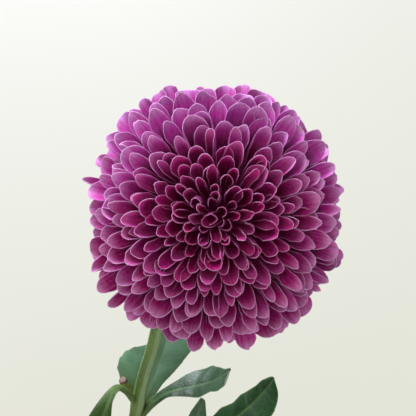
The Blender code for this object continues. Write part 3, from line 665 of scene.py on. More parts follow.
# florets that grew out of line: near (theta, direction), what is unusual about them
ODD_FLORETS = [
    ((84, 166), dict(width=0.34, curl=70, reach=1.085, bend=-24, opens=0.30, point=1.3)),
    ((44, 158), dict(roll=34, width=1.15, bend=-12, curl=-18, crease=0.35)),
    ((52, 170), dict(roll=-38, width=1.1, bend=-16, crease=0.5, notch=0.7)),
    ((62, 150), dict(roll=30, width=1.1, bend=10, crease=0.4)),
    ((71, 178), dict(roll=-30, width=1.0, bend=14, curl=14)),
    ((74, 205), dict(roll=36, width=0.9, bend=8, curl=20)),
    ((84, 108), dict(width=0.5, curl=45, reach=1.06, bend=-8, opens=0.2)),
    ((80, 345), dict(roll=-28, width=0.8, curl=24, bend=-8)),
    ((64, 332), dict(roll=24, width=0.75, curl=30)),
]


def pick_surfaces(theta, phi):
    """One surface per floret; each is the variant that cuts least into the florets already placed."""
    odd = {}
    where = np.stack([np.sin(np.radians(theta)) * np.cos(phi), np.sin(np.radians(theta)) * np.sin(phi), np.cos(np.radians(theta))], axis=1)
    for (t, p), special in ODD_FLORETS:
        t, p = math.radians(t), math.radians(p)
        odd[int(np.argmax(where @ np.array([math.sin(t) * math.cos(p), math.sin(t) * math.sin(p), math.cos(t)])))] = special
    chosen, trees = [], []
    for i in range(len(theta)):
        near = [j for j in np.nonzero(where[:i] @ where[i] > math.cos(math.radians(1.75 * tip_spacing(theta[i]) / BALL_RADIUS * 57.3)))[0]]
        best = None
        for attempt in range(6):
            surface = floret_surface(theta[i], phi[i], 100 + i + 1000 * attempt, odd.get(i))
            tree = tip_tree(surface)
            cuts = sum(len(tree.overlap(trees[j])) for j in near)
            if best is None or cuts < best[0]:
                best = (cuts, surface, tree)
            if cuts <= 3:
                break
        chosen.append(best[1])
        trees.append(best[2])
    return chosen


def build_florets():
    theta, phi = floret_layout()
    starts = ring_limits(len(theta))
    surfaces = pick_surfaces(theta, phi)
    mats = {"florets_inner": floret_material("inner_floret_skin", 0.02, 0.07, 0.008),
            "florets_middle": floret_material("middle_floret_skin", 0.02, 0.08, 0.008),
            "florets_outer": floret_material("outer_floret_skin", 0.04, 0.12, 0.004)}
    for k in range(len(starts) - 1):
        a, b = starts[k], starts[k + 1]
        n = b - a
        gx = math.ceil(math.sqrt(n / 1.6))
        gy = math.ceil(n / gx)
        piece = Piece()
        for j in range(n):
            add_floret(piece, surfaces[a + j], (j % gx, j // gx), (gx, gy))
        slot = "florets_inner" if k < 5 else "florets_middle" if k < 8 else "florets_outer"
        name = "floret_ring_%02d" % (k + 1)
        piece.build("petals_%02d" % (k + 1), mats[slot], [name])


# ------------------------------------------------------------------ stem, receptacle, bracts, stub
RECEPTACLE = BALL - RECEPTACLE_BACK * FACE_AXIS


def grid_faces(nu, nv, wrap):
    k = np.arange(nu * nv).reshape(nu, nv)
    if wrap:
        nxt = np.roll(k, -1, axis=1)
        a, b, c, e = k[:-1], nxt[:-1], nxt[1:], k[1:]
    else:
        a, b, c, e = k[:-1, :-1], k[:-1, 1:], k[1:, 1:], k[1:, :-1]
    return np.stack([a, b, c, e], axis=-1).reshape(-1, 4)


def cap_rows(ring, inward_steps, bulge):
    """Shrinks an end ring to its centre in a few steps, bulged along its normal."""
    centre = ring.mean(axis=0)
    rows = []
    for f, b in zip(inward_steps, bulge):
        rows.append(centre + (ring - centre) * f + b)
    return rows


def tube_piece(path, radius_of, sides, mat, name, replaced, ribs=0, rib_height=0.0, first=None, last=None, extra=None):
    n = len(path)
    rows, side = [], None
    tang = np.gradient(path, axis=0)
    tang /= np.linalg.norm(tang, axis=1)[:, None]
    ang = np.arange(sides) * 2 * math.pi / sides
    run = np.concatenate([[0.0], np.cumsum(np.linalg.norm(np.diff(path, axis=0), axis=1))])
    for i in range(n):
        t = tang[i]
        if side is None:
            side = unit(np.cross(t, [0.3, 1.0, 0.1]))
        side = unit(side - t * (side @ t))
        other = np.cross(t, side)
        twist = 0.0025 * run[i]
        ridge = 0.5 + 0.5 * np.cos(ribs * (ang + twist)) if ribs else np.zeros(sides)
        r = radius_of(i, run[i], ang) + rib_height * (ridge ** 1.5 - 0.5)
        p = path[i] + r[:, None] * (np.cos(ang)[:, None] * side + np.sin(ang)[:, None] * other)
        cut = first if i == 0 else last if i == n - 1 else None
        if cut is not None:
            p = p - t[None] * (((p - path[i]) @ cut) / (t @ cut))[:, None]
        rows.append((p, ridge, run[i]))
    head_rows = [(q, rows[-1][1], run[-1]) for q in cap_rows(rows[-1][0], (0.93, 0.6, 0.02), (tang[-1] * 0.10, tang[-1] * 0.12, tang[-1] * 0.12))]
    foot_rows = [(q, rows[0][1], 0.0) for q in cap_rows(rows[0][0], (0.02, 0.6, 0.93), (-tang[0] * 0.12, -tang[0] * 0.12, -tang[0] * 0.10))]
    rows = foot_rows + rows + head_rows
    pts = np.concatenate([r[0] for r in rows])
    rib = np.concatenate([r[1] for r in rows])
    flat = np.concatenate([np.stack([ang * 2.3, np.full(sides, r[2]), np.zeros(sides)], axis=1) for r in rows])
    # painted light: where the stem's pale, lit-looking bands fall
    painted_light_band = np.concatenate([0.5 + 0.5 * np.cos(3 * (ang - 0.62 + 0.0025 * r[2])) for r in rows])
    nu = len(rows)
    faces = grid_faces(nu, sides, True)
    uu = np.linspace(0.01, 0.99, nu)
    k = np.arange(nu * sides).reshape(nu, sides)
    fu = []
    for i in range(nu - 1):
        for j in range(sides):
            u0, u1 = j / sides, (j + 1) / sides
            fu.append([(u0, uu[i]), (u1, uu[i]), (u1, uu[i + 1]), (u0, uu[i + 1])])
    fu = np.array(fu) * 0.98 + 0.01
    values = dict(rib=rib, painted_light_band=painted_light_band, flat=flat, along=flat[:, 1] / run[-1])
    if extra is not None:
        values.update(extra(pts))
    piece = Piece()
    piece.add(pts, faces, fu, **values)
    return piece.build(name, mat, replaced)


STEM_NODES = [BALL + (-28.3, 30.0, -94.0), BALL + (-33.5, 30.0, -119.0), BALL + (-38.0, 30.0, -138.0), np.array([3.0, 0.0, 92.0])]


def stem_points():
    c = BALL
    return [(-11.3, 0.0, VASE_FLOOR + 3.0), (-1.3, 0.0, 65.0), (8.6, 0.0, 124.0),
            c + (-28.4, 30.0, -99.6), c + (-25.5, 30.2, -84.7), c + (-21.7, 31.2, -71.2), c + (-18.6, 32.8, -59.0),
            c + (-12.0, 34.6, -43.0), c + (-3.6, 33.2, -27.0), RECEPTACLE - (RECEPTACLE_RADIUS + PEDUNCLE_LENGTH + 0.05) * FACE_AXIS]


def build_stem():
    mat = stem_material()
    path = smooth_curve(stem_points(), 170)

    def radius(i, run, ang):
        r = STEM_RADIUS + 0.12 * math.sin(run * 0.09) * 0.3
        for q in STEM_NODES:
            r = r + 0.42 * math.exp(-(np.linalg.norm(path[i] - q) / 3.2) ** 2)
        r += 0.45 * smooth_step(len(path) - 14, len(path) - 1, i)
        return np.full(len(ang), r)

    def node_value(pts):
        v = np.zeros(len(pts))
        for q in STEM_NODES:
            v = np.maximum(v, 0.6 * np.exp(-(np.linalg.norm(pts - q, axis=1) / 3.4) ** 2))
        return {"node": v}

    tube_piece(path, radius, 40, mat, "stem_skin", ["stem"], ribs=6, rib_height=0.24,
               first=unit([0.55, 0.25, 1.0]), last=FACE_AXIS, extra=node_value)
    a = BALL + (-29.6, 31.4, -93.4)
    stub = smooth_curve([a, a + (-1.4, 0.7, 2.2), a + (-2.6, 1.2, 4.4), a + (-3.3, 1.6, 6.7)], 26)

    def stub_radius(i, run, ang):
        t = i / 25
        r = np.interp(t, [0, 0.2, 0.5, 0.85, 0.95, 1.0], [1.1, 1.45, 1.6, 1.4, 1.5, 1.38])
        return np.full(len(ang), r) + 0.10 * np.sin(3 * ang + 5 * t)

    shoot = stub_material()
    tube_piece(stub, stub_radius, 24, shoot, "cut_shoot", ["side_shoot_stub"], ribs=5, rib_height=0.16,
               last=unit([-0.3, -0.2, 1.0]), extra=lambda p: {"cut": smooth_step(5.4, 6.3, (p - a)[:, 2])})


def stub_material():
    mat, tree, shader = new_material("cut_shoot_skin")
    n = Net(tree)
    co = n.coords()
    cut = n.attr("cut")
    fine = n.noise(co, 1300.0, 2.0, 0.6)
    skin = n.mix(n.ramp(fine, 0.35, 0.7), srgb(108, 110, 36), srgb(142, 150, 66))
    end = n.mix(n.ramp(fine, 0.35, 0.7), srgb(96, 74, 58), srgb(128, 104, 86))
    n.link(n.mix(cut, skin, end), shader.inputs["Base Color"])
    n.link(n.ramp(fine, 0.3, 0.7, 0.45, 0.7), shader.inputs["Roughness"])
    n.link(n.bump(fine, 0.4, 0.00015), shader.inputs["Normal"])
    return mat


def build_receptacle():
    mat = green_material("receptacle_skin", srgb(126, 148, 78), srgb(170, 186, 130), srgb(96, 118, 56))
    profile = [(0.02, RECEPTACLE_RADIUS)]
    for a in range(10, 126, 6):
        profile.append((RECEPTACLE_RADIUS * math.sin(math.radians(a)), RECEPTACLE_RADIUS * math.cos(math.radians(a))))
    end = RECEPTACLE_RADIUS + PEDUNCLE_LENGTH
    tail = smooth_curve([(RECEPTACLE_RADIUS * math.sin(math.radians(124)), RECEPTACLE_RADIUS * math.cos(math.radians(124))),
                         (5.2, -8.4), (3.8, -11.6), (3.0, -15.2), (2.75, -end)], 22)
    profile += [tuple(p) for p in tail[1:]] + [(1.5, -end), (0.02, -end)]
    sides = 48
    ang = np.arange(sides) * 2 * math.pi / sides
    rows = []
    for r, z in profile:
        ridge = 0.12 * np.cos(6 * ang) * smooth_step(-9, -14, z) if z < -9 else np.zeros(sides)
        rr = r + ridge if r > 1.6 else np.full(sides, r)
        rows.append(RECEPTACLE + rr[:, None] * (np.cos(ang)[:, None] * SIDE_AXIS + np.sin(ang)[:, None] * UP_AXIS) + z * FACE_AXIS)
    nu = len(rows)
    faces = grid_faces(nu, sides, True)[:, ::-1]
    piece = Piece()
    piece.add(np.concatenate(rows), faces)
    piece.build("receptacle_skin", mat, ["receptacle"], uv=False)


def bract_material():
    mat, tree, shader = new_material("bract_skin")
    n = Net(tree)
    edge, along = n.attr("edge"), n.attr("along")
    flat = n.attr("flat", vector=True)
    streak = n.noise(n.scaled(flat, 1.0, 0.15, 1.0), 2.2, 3.0, 0.6)
    body = n.mix(n.ramp(streak, 0.35, 0.7), srgb(86, 112, 58), srgb(122, 146, 84))
    body = n.mix(n.ramp(along, 0.7, 1.0, 0.0, 0.6), body, srgb(150, 150, 92))
    colour = n.mix(n.ramp(edge, 0.15, 0.6, 0.8, 0.0), body, srgb(186, 172, 128))
    n.link(colour, shader.inputs["Base Color"])
    n.link(n.ramp(streak, 0.3, 0.7, 0.5, 0.65), shader.inputs["Roughness"])
    n.link(n.bump(streak, 0.4, 0.00015), shader.inputs["Normal"])
    return mat


def plate(piece, path, normals, half_of, thickness, rows, cols, fold, seed, cell=(0, 0), cells=(1, 1), point_power=1.6):
    """A small closed plate along a curve: bracts."""
    m = smooth_curve(path, 60)
    run = np.concatenate([[0.0], np.cumsum(np.linalg.norm(np.diff(m, axis=0), axis=1))])
    length = run[-1]
    t = np.linspace(0, 1, rows)
    centre = np.stack([np.interp(t * length, run, m[:, k]) for k in range(3)], axis=1)
    tang = np.gradient(centre, axis=0)
    tang /= np.linalg.norm(tang, axis=1)[:, None]
    up = (1 - t)[:, None] * np.asarray(normals[0]) + t[:, None] * np.asarray(normals[1])
    side = np.cross(tang, up)
    side /= np.linalg.norm(side, axis=1)[:, None]
    up = np.cross(side, tang)
    v = np.sin(0.5 * math.pi * np.linspace(-1, 1, 2 * cols + 1))
    half = half_of(t)
    w = v[None] * half[:, None]
    alpha = math.radians(fold)
    rho = np.maximum(half, 0.05) / alpha
    X = centre[:, None] + (rho[:, None] * np.sin(v[None] * alpha))[..., None] * side[:, None] + (rho[:, None] * (1 - np.cos(v[None] * alpha)))[..., None] * up[:, None]
    flat2 = np.stack([w, (t * length)[:, None] + 0 * w], axis=2)
    outline = np.concatenate([np.stack([-half, t * length], axis=1), np.stack([half, t * length], axis=1)[::-1]])
    d = distance_to_line(flat2.reshape(-1, 2), outline).reshape(w.shape)
    th = thickness * (0.3 + 0.7 * smooth_step(0, 0.8, d))
    top_p = X + 0.5 * th[..., None] * up[:, None]
    low_p = X - 0.5 * th[..., None] * up[:, None]
    nu, nv = w.shape
    off = nu * nv
    k = np.arange(off).reshape(nu, nv)
    top = grid_faces(nu, nv, False)
    low = top[:, ::-1] + off
    left = np.stack([k[:-1, 0], k[1:, 0], k[1:, 0] + off, k[:-1, 0] + off], axis=-1)
    right = np.stack([k[1:, -1], k[:-1, -1], k[:-1, -1] + off, k[1:, -1] + off], axis=-1)
    end = np.stack([k[-1, :-1], k[-1, 1:], k[-1, 1:] + off, k[-1, :-1] + off], axis=-1)
    root = np.stack([k[0, 1:], k[0, :-1], k[0, :-1] + off, k[0, 1:] + off], axis=-1)
    sample = np.cross(top_p[1, cols + 1] - top_p[1, cols], top_p[2, cols] - top_p[1, cols])
    quads = [top, low, left, right, end, root]
    if sample @ up[1] < 0:
        quads = [q[:, ::-1] for q in quads]
    both = lambda x: np.concatenate([x.ravel(), x.ravel()])
    flat3 = np.stack([w, (t * length)[:, None] + 0 * w, np.full_like(w, seed * 2.3)], axis=2).reshape(-1, 3)
    piece.add(np.concatenate([top_p.reshape(-1, 3), low_p.reshape(-1, 3)]), np.concatenate(quads),
              edge=both(d), along=both(t[:, None] + 0 * w), flat=np.concatenate([flat3, flat3]),
              inside=np.concatenate([np.ones(off), np.zeros(off)]))


def build_bracts():
    mat = bract_material()
    for k, (node, start, reach, back) in enumerate((("bract_ring_outer", 99.0, 13.4, 7.4), ("bract_ring_inner", 112.0, 11.0, 10.4))):
        rng = np.random.RandomState(50 + k)
        piece = Piece()
        for j in range(13):
            phi = j * 2 * math.pi / 13 + 0.24 * k + 0.1 + rng.normal(0, 0.03)
            out = math.cos(phi) * SIDE_AXIS + math.sin(phi) * UP_AXIS
            a = math.radians(start)
            base = RECEPTACLE + (RECEPTACLE_RADIUS - 0.2) * (math.sin(a) * out + math.cos(a) * FACE_AXIS)
            tip = RECEPTACLE + (reach + rng.normal(0, 0.35)) * out - (back + rng.normal(0, 0.4)) * FACE_AXIS
            mid = 0.5 * (base + tip) + 0.9 * FACE_AXIS + 0.4 * out
            half = lambda t, w=2.1 - 0.3 * k: np.maximum(w * np.interp(t, [0, 0.25, 0.6, 0.85, 0.95, 1.0], [0.8, 1.0, 0.92, 0.55, 0.28, 0.05]), 0.04)
            plate(piece, [base, mid, tip], [FACE_AXIS + 0.3 * out, out + 0.6 * FACE_AXIS], half, 0.45, 12, 5, 40.0, 7 * k + j)
        piece.build(node.replace("ring", "scales"), mat, [node], uv=False)


# ------------------------------------------------------------------ leaves
def leaf(name, node, midrib, normals, left, right, mat, slant=0.35, fold=14.0, wave=0.6, petiole=2.2, veins=6,
         droop_edge=0.0, seed=1, tint=0.5, warm=0.0, stalk=0.5, rows=96, cols=18):
    rng = np.random.RandomState(seed)
    tint = tint if isinstance(tint, tuple) else (tint, tint)
    m = smooth_curve(midrib, 120)
    run = np.concatenate([[0.0], np.cumsum(np.linalg.norm(np.diff(m, axis=0), axis=1))])
    length = run[-1]
    grid_t = np.linspace(0, 1, 120)
    tang = np.gradient(m, axis=0)
    tang /= np.linalg.norm(tang, axis=1)[:, None]
    upv = (1 - grid_t)[:, None] * np.asarray(normals[0], float) + grid_t[:, None] * np.asarray(normals[1], float)
    sidev = np.cross(tang, upv)
    sidev /= np.linalg.norm(sidev, axis=1)[:, None]
    upv = np.cross(sidev, tang)

    def table(tab, q):
        q = np.clip(q, 0, 1) * (len(tab) - 1)
        i = np.minimum(q.astype(int), len(tab) - 2)
        f = (q - i)[..., None]
        return tab[i] * (1 - f) + tab[i + 1] * f

    t = np.linspace(0.0, 1.0, rows)
    v = np.concatenate([-np.sin(0.5 * math.pi * np.linspace(1, 0, cols + 1))[:-1], np.sin(0.5 * math.pi * np.linspace(0, 1, cols + 1))])

    def smooth_knots(knots):
        kx, ky = np.array([q[0] for q in knots]), np.array([q[1] for q in knots])
        fine = np.interp(np.linspace(0, 1, 400), kx, ky)
        kern = np.hanning(23)
        kern /= kern.sum()
        padded = np.concatenate([np.full(11, fine[0]), fine, np.full(11, fine[-1])])
        return np.convolve(padded, kern, "valid")

    wl, wr = smooth_knots(left), smooth_knots(right)
    # small forward teeth on the lobes
    tt = np.linspace(0, 1, 400)
    for arr, ph in ((wl, rng.uniform(0, 6)), (wr, rng.uniform(0, 6))):
        saw = (tt * 17 + ph) % 1.0
        arr += np.clip(arr - 4.0, 0, 6) * 0.055 * (saw ** 1.5 - 0.35) * smooth_step(1.0, 0.9, tt)
    half = np.where(v[None, :] < 0, np.interp(t, tt, wl)[:, None], np.interp(t, tt, wr)[:, None])
    half = np.maximum(half, petiole / 2)
    half = half * smooth_step(1.03, 0.97, t)[:, None] + 0.12
    reach = np.minimum(t[:, None] + slant * half / length * np.abs(v)[None, :], 1.0)
    side, up, base = table(sidev, reach), table(upv, reach), table(m, reach)
    tanf = math.tan(math.radians(fold))
    av = np.abs(v)[None, :]
    w = av * half
    lift = tanf * (w - 0.5 * av * w)
    size = np.clip(half / 8.0, 0, 1)
    ripple = wave * av ** 2 * np.sin(17.0 * t[:, None] + np.where(v[None, :] > 0, 1.3, 0.0)) * size
    ripple += 0.35 * wave * av ** 3 * np.sin(37.0 * t[:, None] + np.where(v[None, :] > 0, 0.4, 2.0)) * size
    ripple -= droop_edge * av ** 3 * size
    # lateral veins leave the midrib in turn and run to the lobes
    vein_at = np.linspace(0.20, 0.86, veins)
    vein = np.zeros_like(w)
    bulge = np.zeros_like(w)
    for j, q in enumerate(vein_at):
        for sign in (-1, 1):
            qq = q + (0.03 if sign > 0 else 0.0) + rng.normal(0, 0.006)
            dist = np.abs(t[:, None] - qq - 0.03 * av * (1 - av)) * length
            here = (np.sign(v)[None, :] == sign) | (av < 1e-6)
            vein = np.maximum(vein, np.where(here, np.exp(-(dist / (0.42 - 0.2 * av)) ** 2), 0) * smooth_step(1.0, 0.8, av))
    midr = np.exp(-(w / np.interp(t, [0, 0.2, 1], [1.1, 0.75, 0.3])[:, None]) ** 2)
    blade = smooth_step(0.12, 0.25, t)[:, None]
    cushion = 0.30 * (1 - np.exp(-(np.minimum.reduce([np.abs(t[:, None] - q) for q in vein_at]) * length / 2.2) ** 2)) * (1 - av ** 4) * (1 - midr)
    sgn = np.where(v[None, :] < 0, -1.0, 1.0)
    X = base + (sgn * w)[..., None] * side + (lift + ripple + blade * cushion * 0.8)[..., None] * up
    thick = 0.40 * (0.45 + 0.55 * smooth_step(0, 1.2, (1 - av) * half)) + 0.9 * midr * np.interp(t, [0, 0.12, 0.3, 1], [2.0, 1.3, 0.9, 0.25])[:, None] + 0.22 * vein * blade
    # real normals of the mid surface
    gu, gv = np.gradient(X, axis=0), np.gradient(X, axis=1)
    nrm = np.cross(gv, gu)
    nrm /= np.maximum(np.linalg.norm(nrm, axis=2), 1e-9)[..., None]
    flipm = np.sign(np.einsum("ijk,ijk->ij", nrm, up))
    flipm[flipm == 0] = 1
    nrm *= flipm[..., None]
    top_p = X + (0.5 * thick * 0.6 - 0.20 * midr * blade - 0.08 * vein * blade)[..., None] * nrm
    low_p = X - (0.5 * thick * 1.2)[..., None] * nrm
    nu, nv = w.shape
    off = nu * nv
    k = np.arange(off).reshape(nu, nv)
    top = grid_faces(nu, nv, False)
    low = top[:, ::-1] + off
    lft = np.stack([k[:-1, 0], k[1:, 0], k[1:, 0] + off, k[:-1, 0] + off], axis=-1)
    rgt = np.stack([k[1:, -1], k[:-1, -1], k[:-1, -1] + off, k[1:, -1] + off], axis=-1)
    end = np.stack([k[-1, :-1], k[-1, 1:], k[-1, 1:] + off, k[-1, :-1] + off], axis=-1)
    root = np.stack([k[0, 1:], k[0, :-1], k[0, :-1] + off, k[0, 1:] + off], axis=-1)
    i0 = nu // 2
    sample = np.cross(top_p[i0, cols + 1] - top_p[i0, cols], top_p[i0 + 1, cols] - top_p[i0, cols])
    quads = [top, low, lft, rgt, end, root]
    uvv = np.stack([0.02 + 0.45 * (v[None, :] + 1) / 2 + 0 * w, 0.02 + 0.96 * t[:, None] + 0 * w], axis=-1).reshape(-1, 2)
    uvl = uvv + np.array([0.51, 0.0])
    uv_all = np.concatenate([uvv, uvl])
    uvs = [uv_all[top], uv_all[low]]
    for strip, shift in ((lft, (-0.008, 0)), (rgt, (0.008, 0)), (end, (0, 0.008)), (root, (0, -0.008))):
        q = uvv[strip % off].copy()
        q[:, 2:] += np.array(shift)
        uvs.append(q)
    if sample @ nrm[i0, cols] < 0:
        quads = [q[:, ::-1] for q in quads]
        uvs = [q[:, ::-1] for q in uvs]
    both = lambda x: np.concatenate([x.ravel(), x.ravel()])
    flat3 = np.stack([sgn * w, t[:, None] * length + 0 * w, np.full_like(w, seed * 11.3)], axis=2).reshape(-1, 3)
    piece = Piece()
    piece.add(np.concatenate([top_p.reshape(-1, 3), low_p.reshape(-1, 3)]), np.concatenate(quads), np.concatenate(uvs),
              edge=both((1 - av) * half), vein=both(vein * blade), midrib=both(midr + 0 * w),
              inside=np.concatenate([np.ones(off), np.zeros(off)]), flat=np.concatenate([flat3, flat3]),
              tone=both(tint[0] + (tint[1] - tint[0]) * smooth_step(-0.25, 0.25, v)[None, :] + 0 * w), warm=np.full(2 * off, warm),
              stalk=both(stalk * smooth_step(0.30, 0.06, t)[:, None] + 0 * w))
    return piece.build(name, mat, [node])


def build_leaves():
    mat = leaf_material("young_leaf_skin", 0.12, 0.5)
    old = leaf_material("old_leaf_skin", 0.02, 0.2)
    c = BALL
    leaf("leaf_back_tall_blade", "leaf_back_tall",
         [c + (-27.0, 32.4, -102.5), c + (-24.9, 34.6, -96.0), c + (-22.8, 38.0, -91.9), c + (-20.3, 43.0, -86.7),
          c + (-17.4, 49.0, -79.4), c + (-15.0, 56.0, -72.8), c + (-12.6, 65.0, -65.0), c + (-10.5, 73.0, -60.5)],
         [(0.1, -1.0, 0.35), (0.1, -0.8, 0.75)],
         [(0.0, 1.2), (0.04, 4.4), (0.08, 10.9), (0.13, 13.8), (0.18, 14.2), (0.25, 13.0), (0.31, 10.4), (0.37, 6.2),
          (0.42, 3.6), (0.48, 7.5), (0.58, 11.0), (0.66, 9.0), (0.72, 5.5), (0.80, 7.5), (0.90, 4.5), (1.0, 0.8)],
         [(0.0, 1.2), (0.10, 2.2), (0.20, 3.8), (0.30, 7.2), (0.42, 10.2), (0.50, 9.2), (0.62, 11.5), (0.70, 9.5),
          (0.80, 8.0), (0.90, 5.0), (1.0, 0.8)], mat, seed=1, tint=(0.0, 0.26), stalk=0.3)
    leaf("leaf_right_small_blade", "leaf_right_small",
         [c + (-26.7, 28.8, -101.0), c + (-22.8, 28.8, -94.8), c + (-17.7, 28.5, -89.6), c + (-12.3, 27.5, -86.6),
          c + (-6.3, 26.0, -83.9), c + (-0.4, 24.0, -79.9), c + (5.2, 22.0, -73.6)],
         [(-0.35, -0.30, 0.90), (-0.05, -0.10, 1.0)],
         [(0.0, 1.5), (0.12, 2.2), (0.34, 2.6), (0.44, 4.2), (0.56, 7.0), (0.68, 7.8), (0.80, 4.9), (0.90, 2.3), (1.0, 0.7)],
         [(0.0, 1.4), (0.12, 1.8), (0.34, 2.2), (0.45, 3.2), (0.56, 4.6), (0.66, 6.2), (0.72, 6.6), (0.77, 5.9), (0.85, 8.4), (0.93, 7.2), (1.0, 0.7)],
         mat, fold=10.0, seed=2, tint=0.96, stalk=0.70)
    leaf("leaf_left_low_blade", "leaf_left_low",
         [c + (-28.5, 27.8, -92.6), c + (-31.4, 26.2, -86.4), c + (-34.1, 24.0, -83.3), c + (-36.1, 20.6, -83.8),
          c + (-38.2, 15.6, -87.0), c + (-40.6, 9.0, -93.6), c + (-44.0, 1.0, -105.6), c + (-48.2, -7.0, -120.9), c + (-52.2, -13.5, -134.0)],
         [(0.2, -0.4, 0.9), (-0.80, -0.45, 0.35)],
         [(0.0, 1.1), (0.16, 1.4), (0.22, 1.6), (0.32, 4.0), (0.42, 7.4), (0.55, 10.2), (0.63, 8.4), (0.74, 11.0), (0.84, 8.4), (0.93, 5.6), (1.0, 0.8)],
         [(0.0, 1.1), (0.16, 1.4), (0.20, 2.2), (0.30, 4.8), (0.40, 7.0), (0.53, 9.6), (0.61, 8.0), (0.72, 10.4), (0.82, 8.0), (0.93, 5.2), (1.0, 0.8)],
         old, seed=3, tint=1.0, warm=0.75, stalk=0.85)
    leaf("leaf_right_low_blade", "leaf_right_low",
         [c + (-29.4, 29.4, -113.4), c + (-16.4, 29.2, -114.5), c + (-2.8, 28.0, -108.6), c + (8.2, 26.5, -98.0),
          c + (15.7, 25.0, -87.6), c + (20.3, 24.0, -78.8)],
         [(-0.6, -0.3, 0.8), (-0.45, -0.45, 0.8)],
         [(0.0, 1.3), (0.14, 1.8), (0.28, 2.6), (0.42, 4.6), (0.54, 6.6), (0.62, 5.6), (0.69, 6.0), (0.78, 4.6), (0.84, 3.6), (0.90, 3.4), (1.0, 0.8)],
         [(0.0, 1.3), (0.12, 2.0), (0.28, 8.0), (0.44, 13.0), (0.52, 11.5), (0.68, 13.0), (0.78, 11.5), (0.88, 9.0), (0.95, 5.5), (1.0, 0.8)],
         old, seed=4, tint=1.0)
    leaf("leaf_back_low_blade", "leaf_back_low",
         [c + (-31.2, 32.2, -119.6), c + (-17.5, 37.0, -123.6), c + (-9.3, 41.0, -118.2), c + (-4.3, 44.0, -104.6)],
         [(-0.2, -0.9, 0.5), (-0.3, -0.6, 0.8)],
         [(0.0, 1.2), (0.15, 1.8), (0.35, 3.2), (0.58, 4.0), (0.80, 2.7), (1.0, 0.8)],
         [(0.0, 1.2), (0.15, 1.8), (0.35, 5.0), (0.58, 6.0), (0.80, 4.2), (1.0, 0.8)], mat, seed=5, tint=0.7)
    leaf("leaf_rim_left_blade", "leaf_rim_left",
         [c + (-38.6, 30.0, -142.0), c + (-52.0, 33.5, -131.0), c + (-66.0, 38.0, -128.5),
          c + (-80.0, 43.0, -134.0), c + (-91.0, 47.0, -144.0)],
         [(0.4, -0.1, 0.9), (-0.35, 0.1, 0.95)],
         [(0.0, 1.3), (0.12, 2.0), (0.26, 7.0), (0.42, 12.0), (0.50, 9.6), (0.66, 12.6), (0.76, 8.8), (0.88, 7.0), (1.0, 0.8)],
         [(0.0, 1.3), (0.12, 2.0), (0.26, 7.0), (0.42, 12.4), (0.50, 9.8), (0.66, 12.2), (0.76, 8.6), (0.88, 7.0), (1.0, 0.8)],
         mat, seed=6, tint=0.8)
    leaf("leaf_rim_back_blade", "leaf_rim_back",
         [c + (-36.4, 31.6, -140.0), c + (-33.0, 42.0, -134.5), c + (-29.0, 52.0, -135.5),
          c + (-25.0, 62.0, -143.5), c + (-22.0, 69.0, -155.0)],
         [(-0.1, -0.5, 0.85), (0.1, 0.65, 0.75)],
         [(0.0, 1.3), (0.12, 2.0), (0.26, 6.5), (0.42, 11.0), (0.50, 9.0), (0.66, 11.6), (0.76, 8.4), (0.88, 6.6), (1.0, 0.8)],
         [(0.0, 1.3), (0.12, 2.0), (0.26, 6.5), (0.42, 11.4), (0.50, 9.2), (0.66, 11.2), (0.76, 8.2), (0.88, 6.6), (1.0, 0.8)],
         mat, seed=7, tint=0.8)


# ------------------------------------------------------------------ vase
VASE_OUTLINE = [(27.4, 2.0), (30.0, 6.5), (33.8, 14.0), (38.2, 30.0), (39.0, 43.0), (36.0, 60.0),
                (27.6, 77.0), (18.8, 90.0), (14.8, 100.0), (13.7, 109.0), (14.1, 117.0), (15.4, 123.4)]


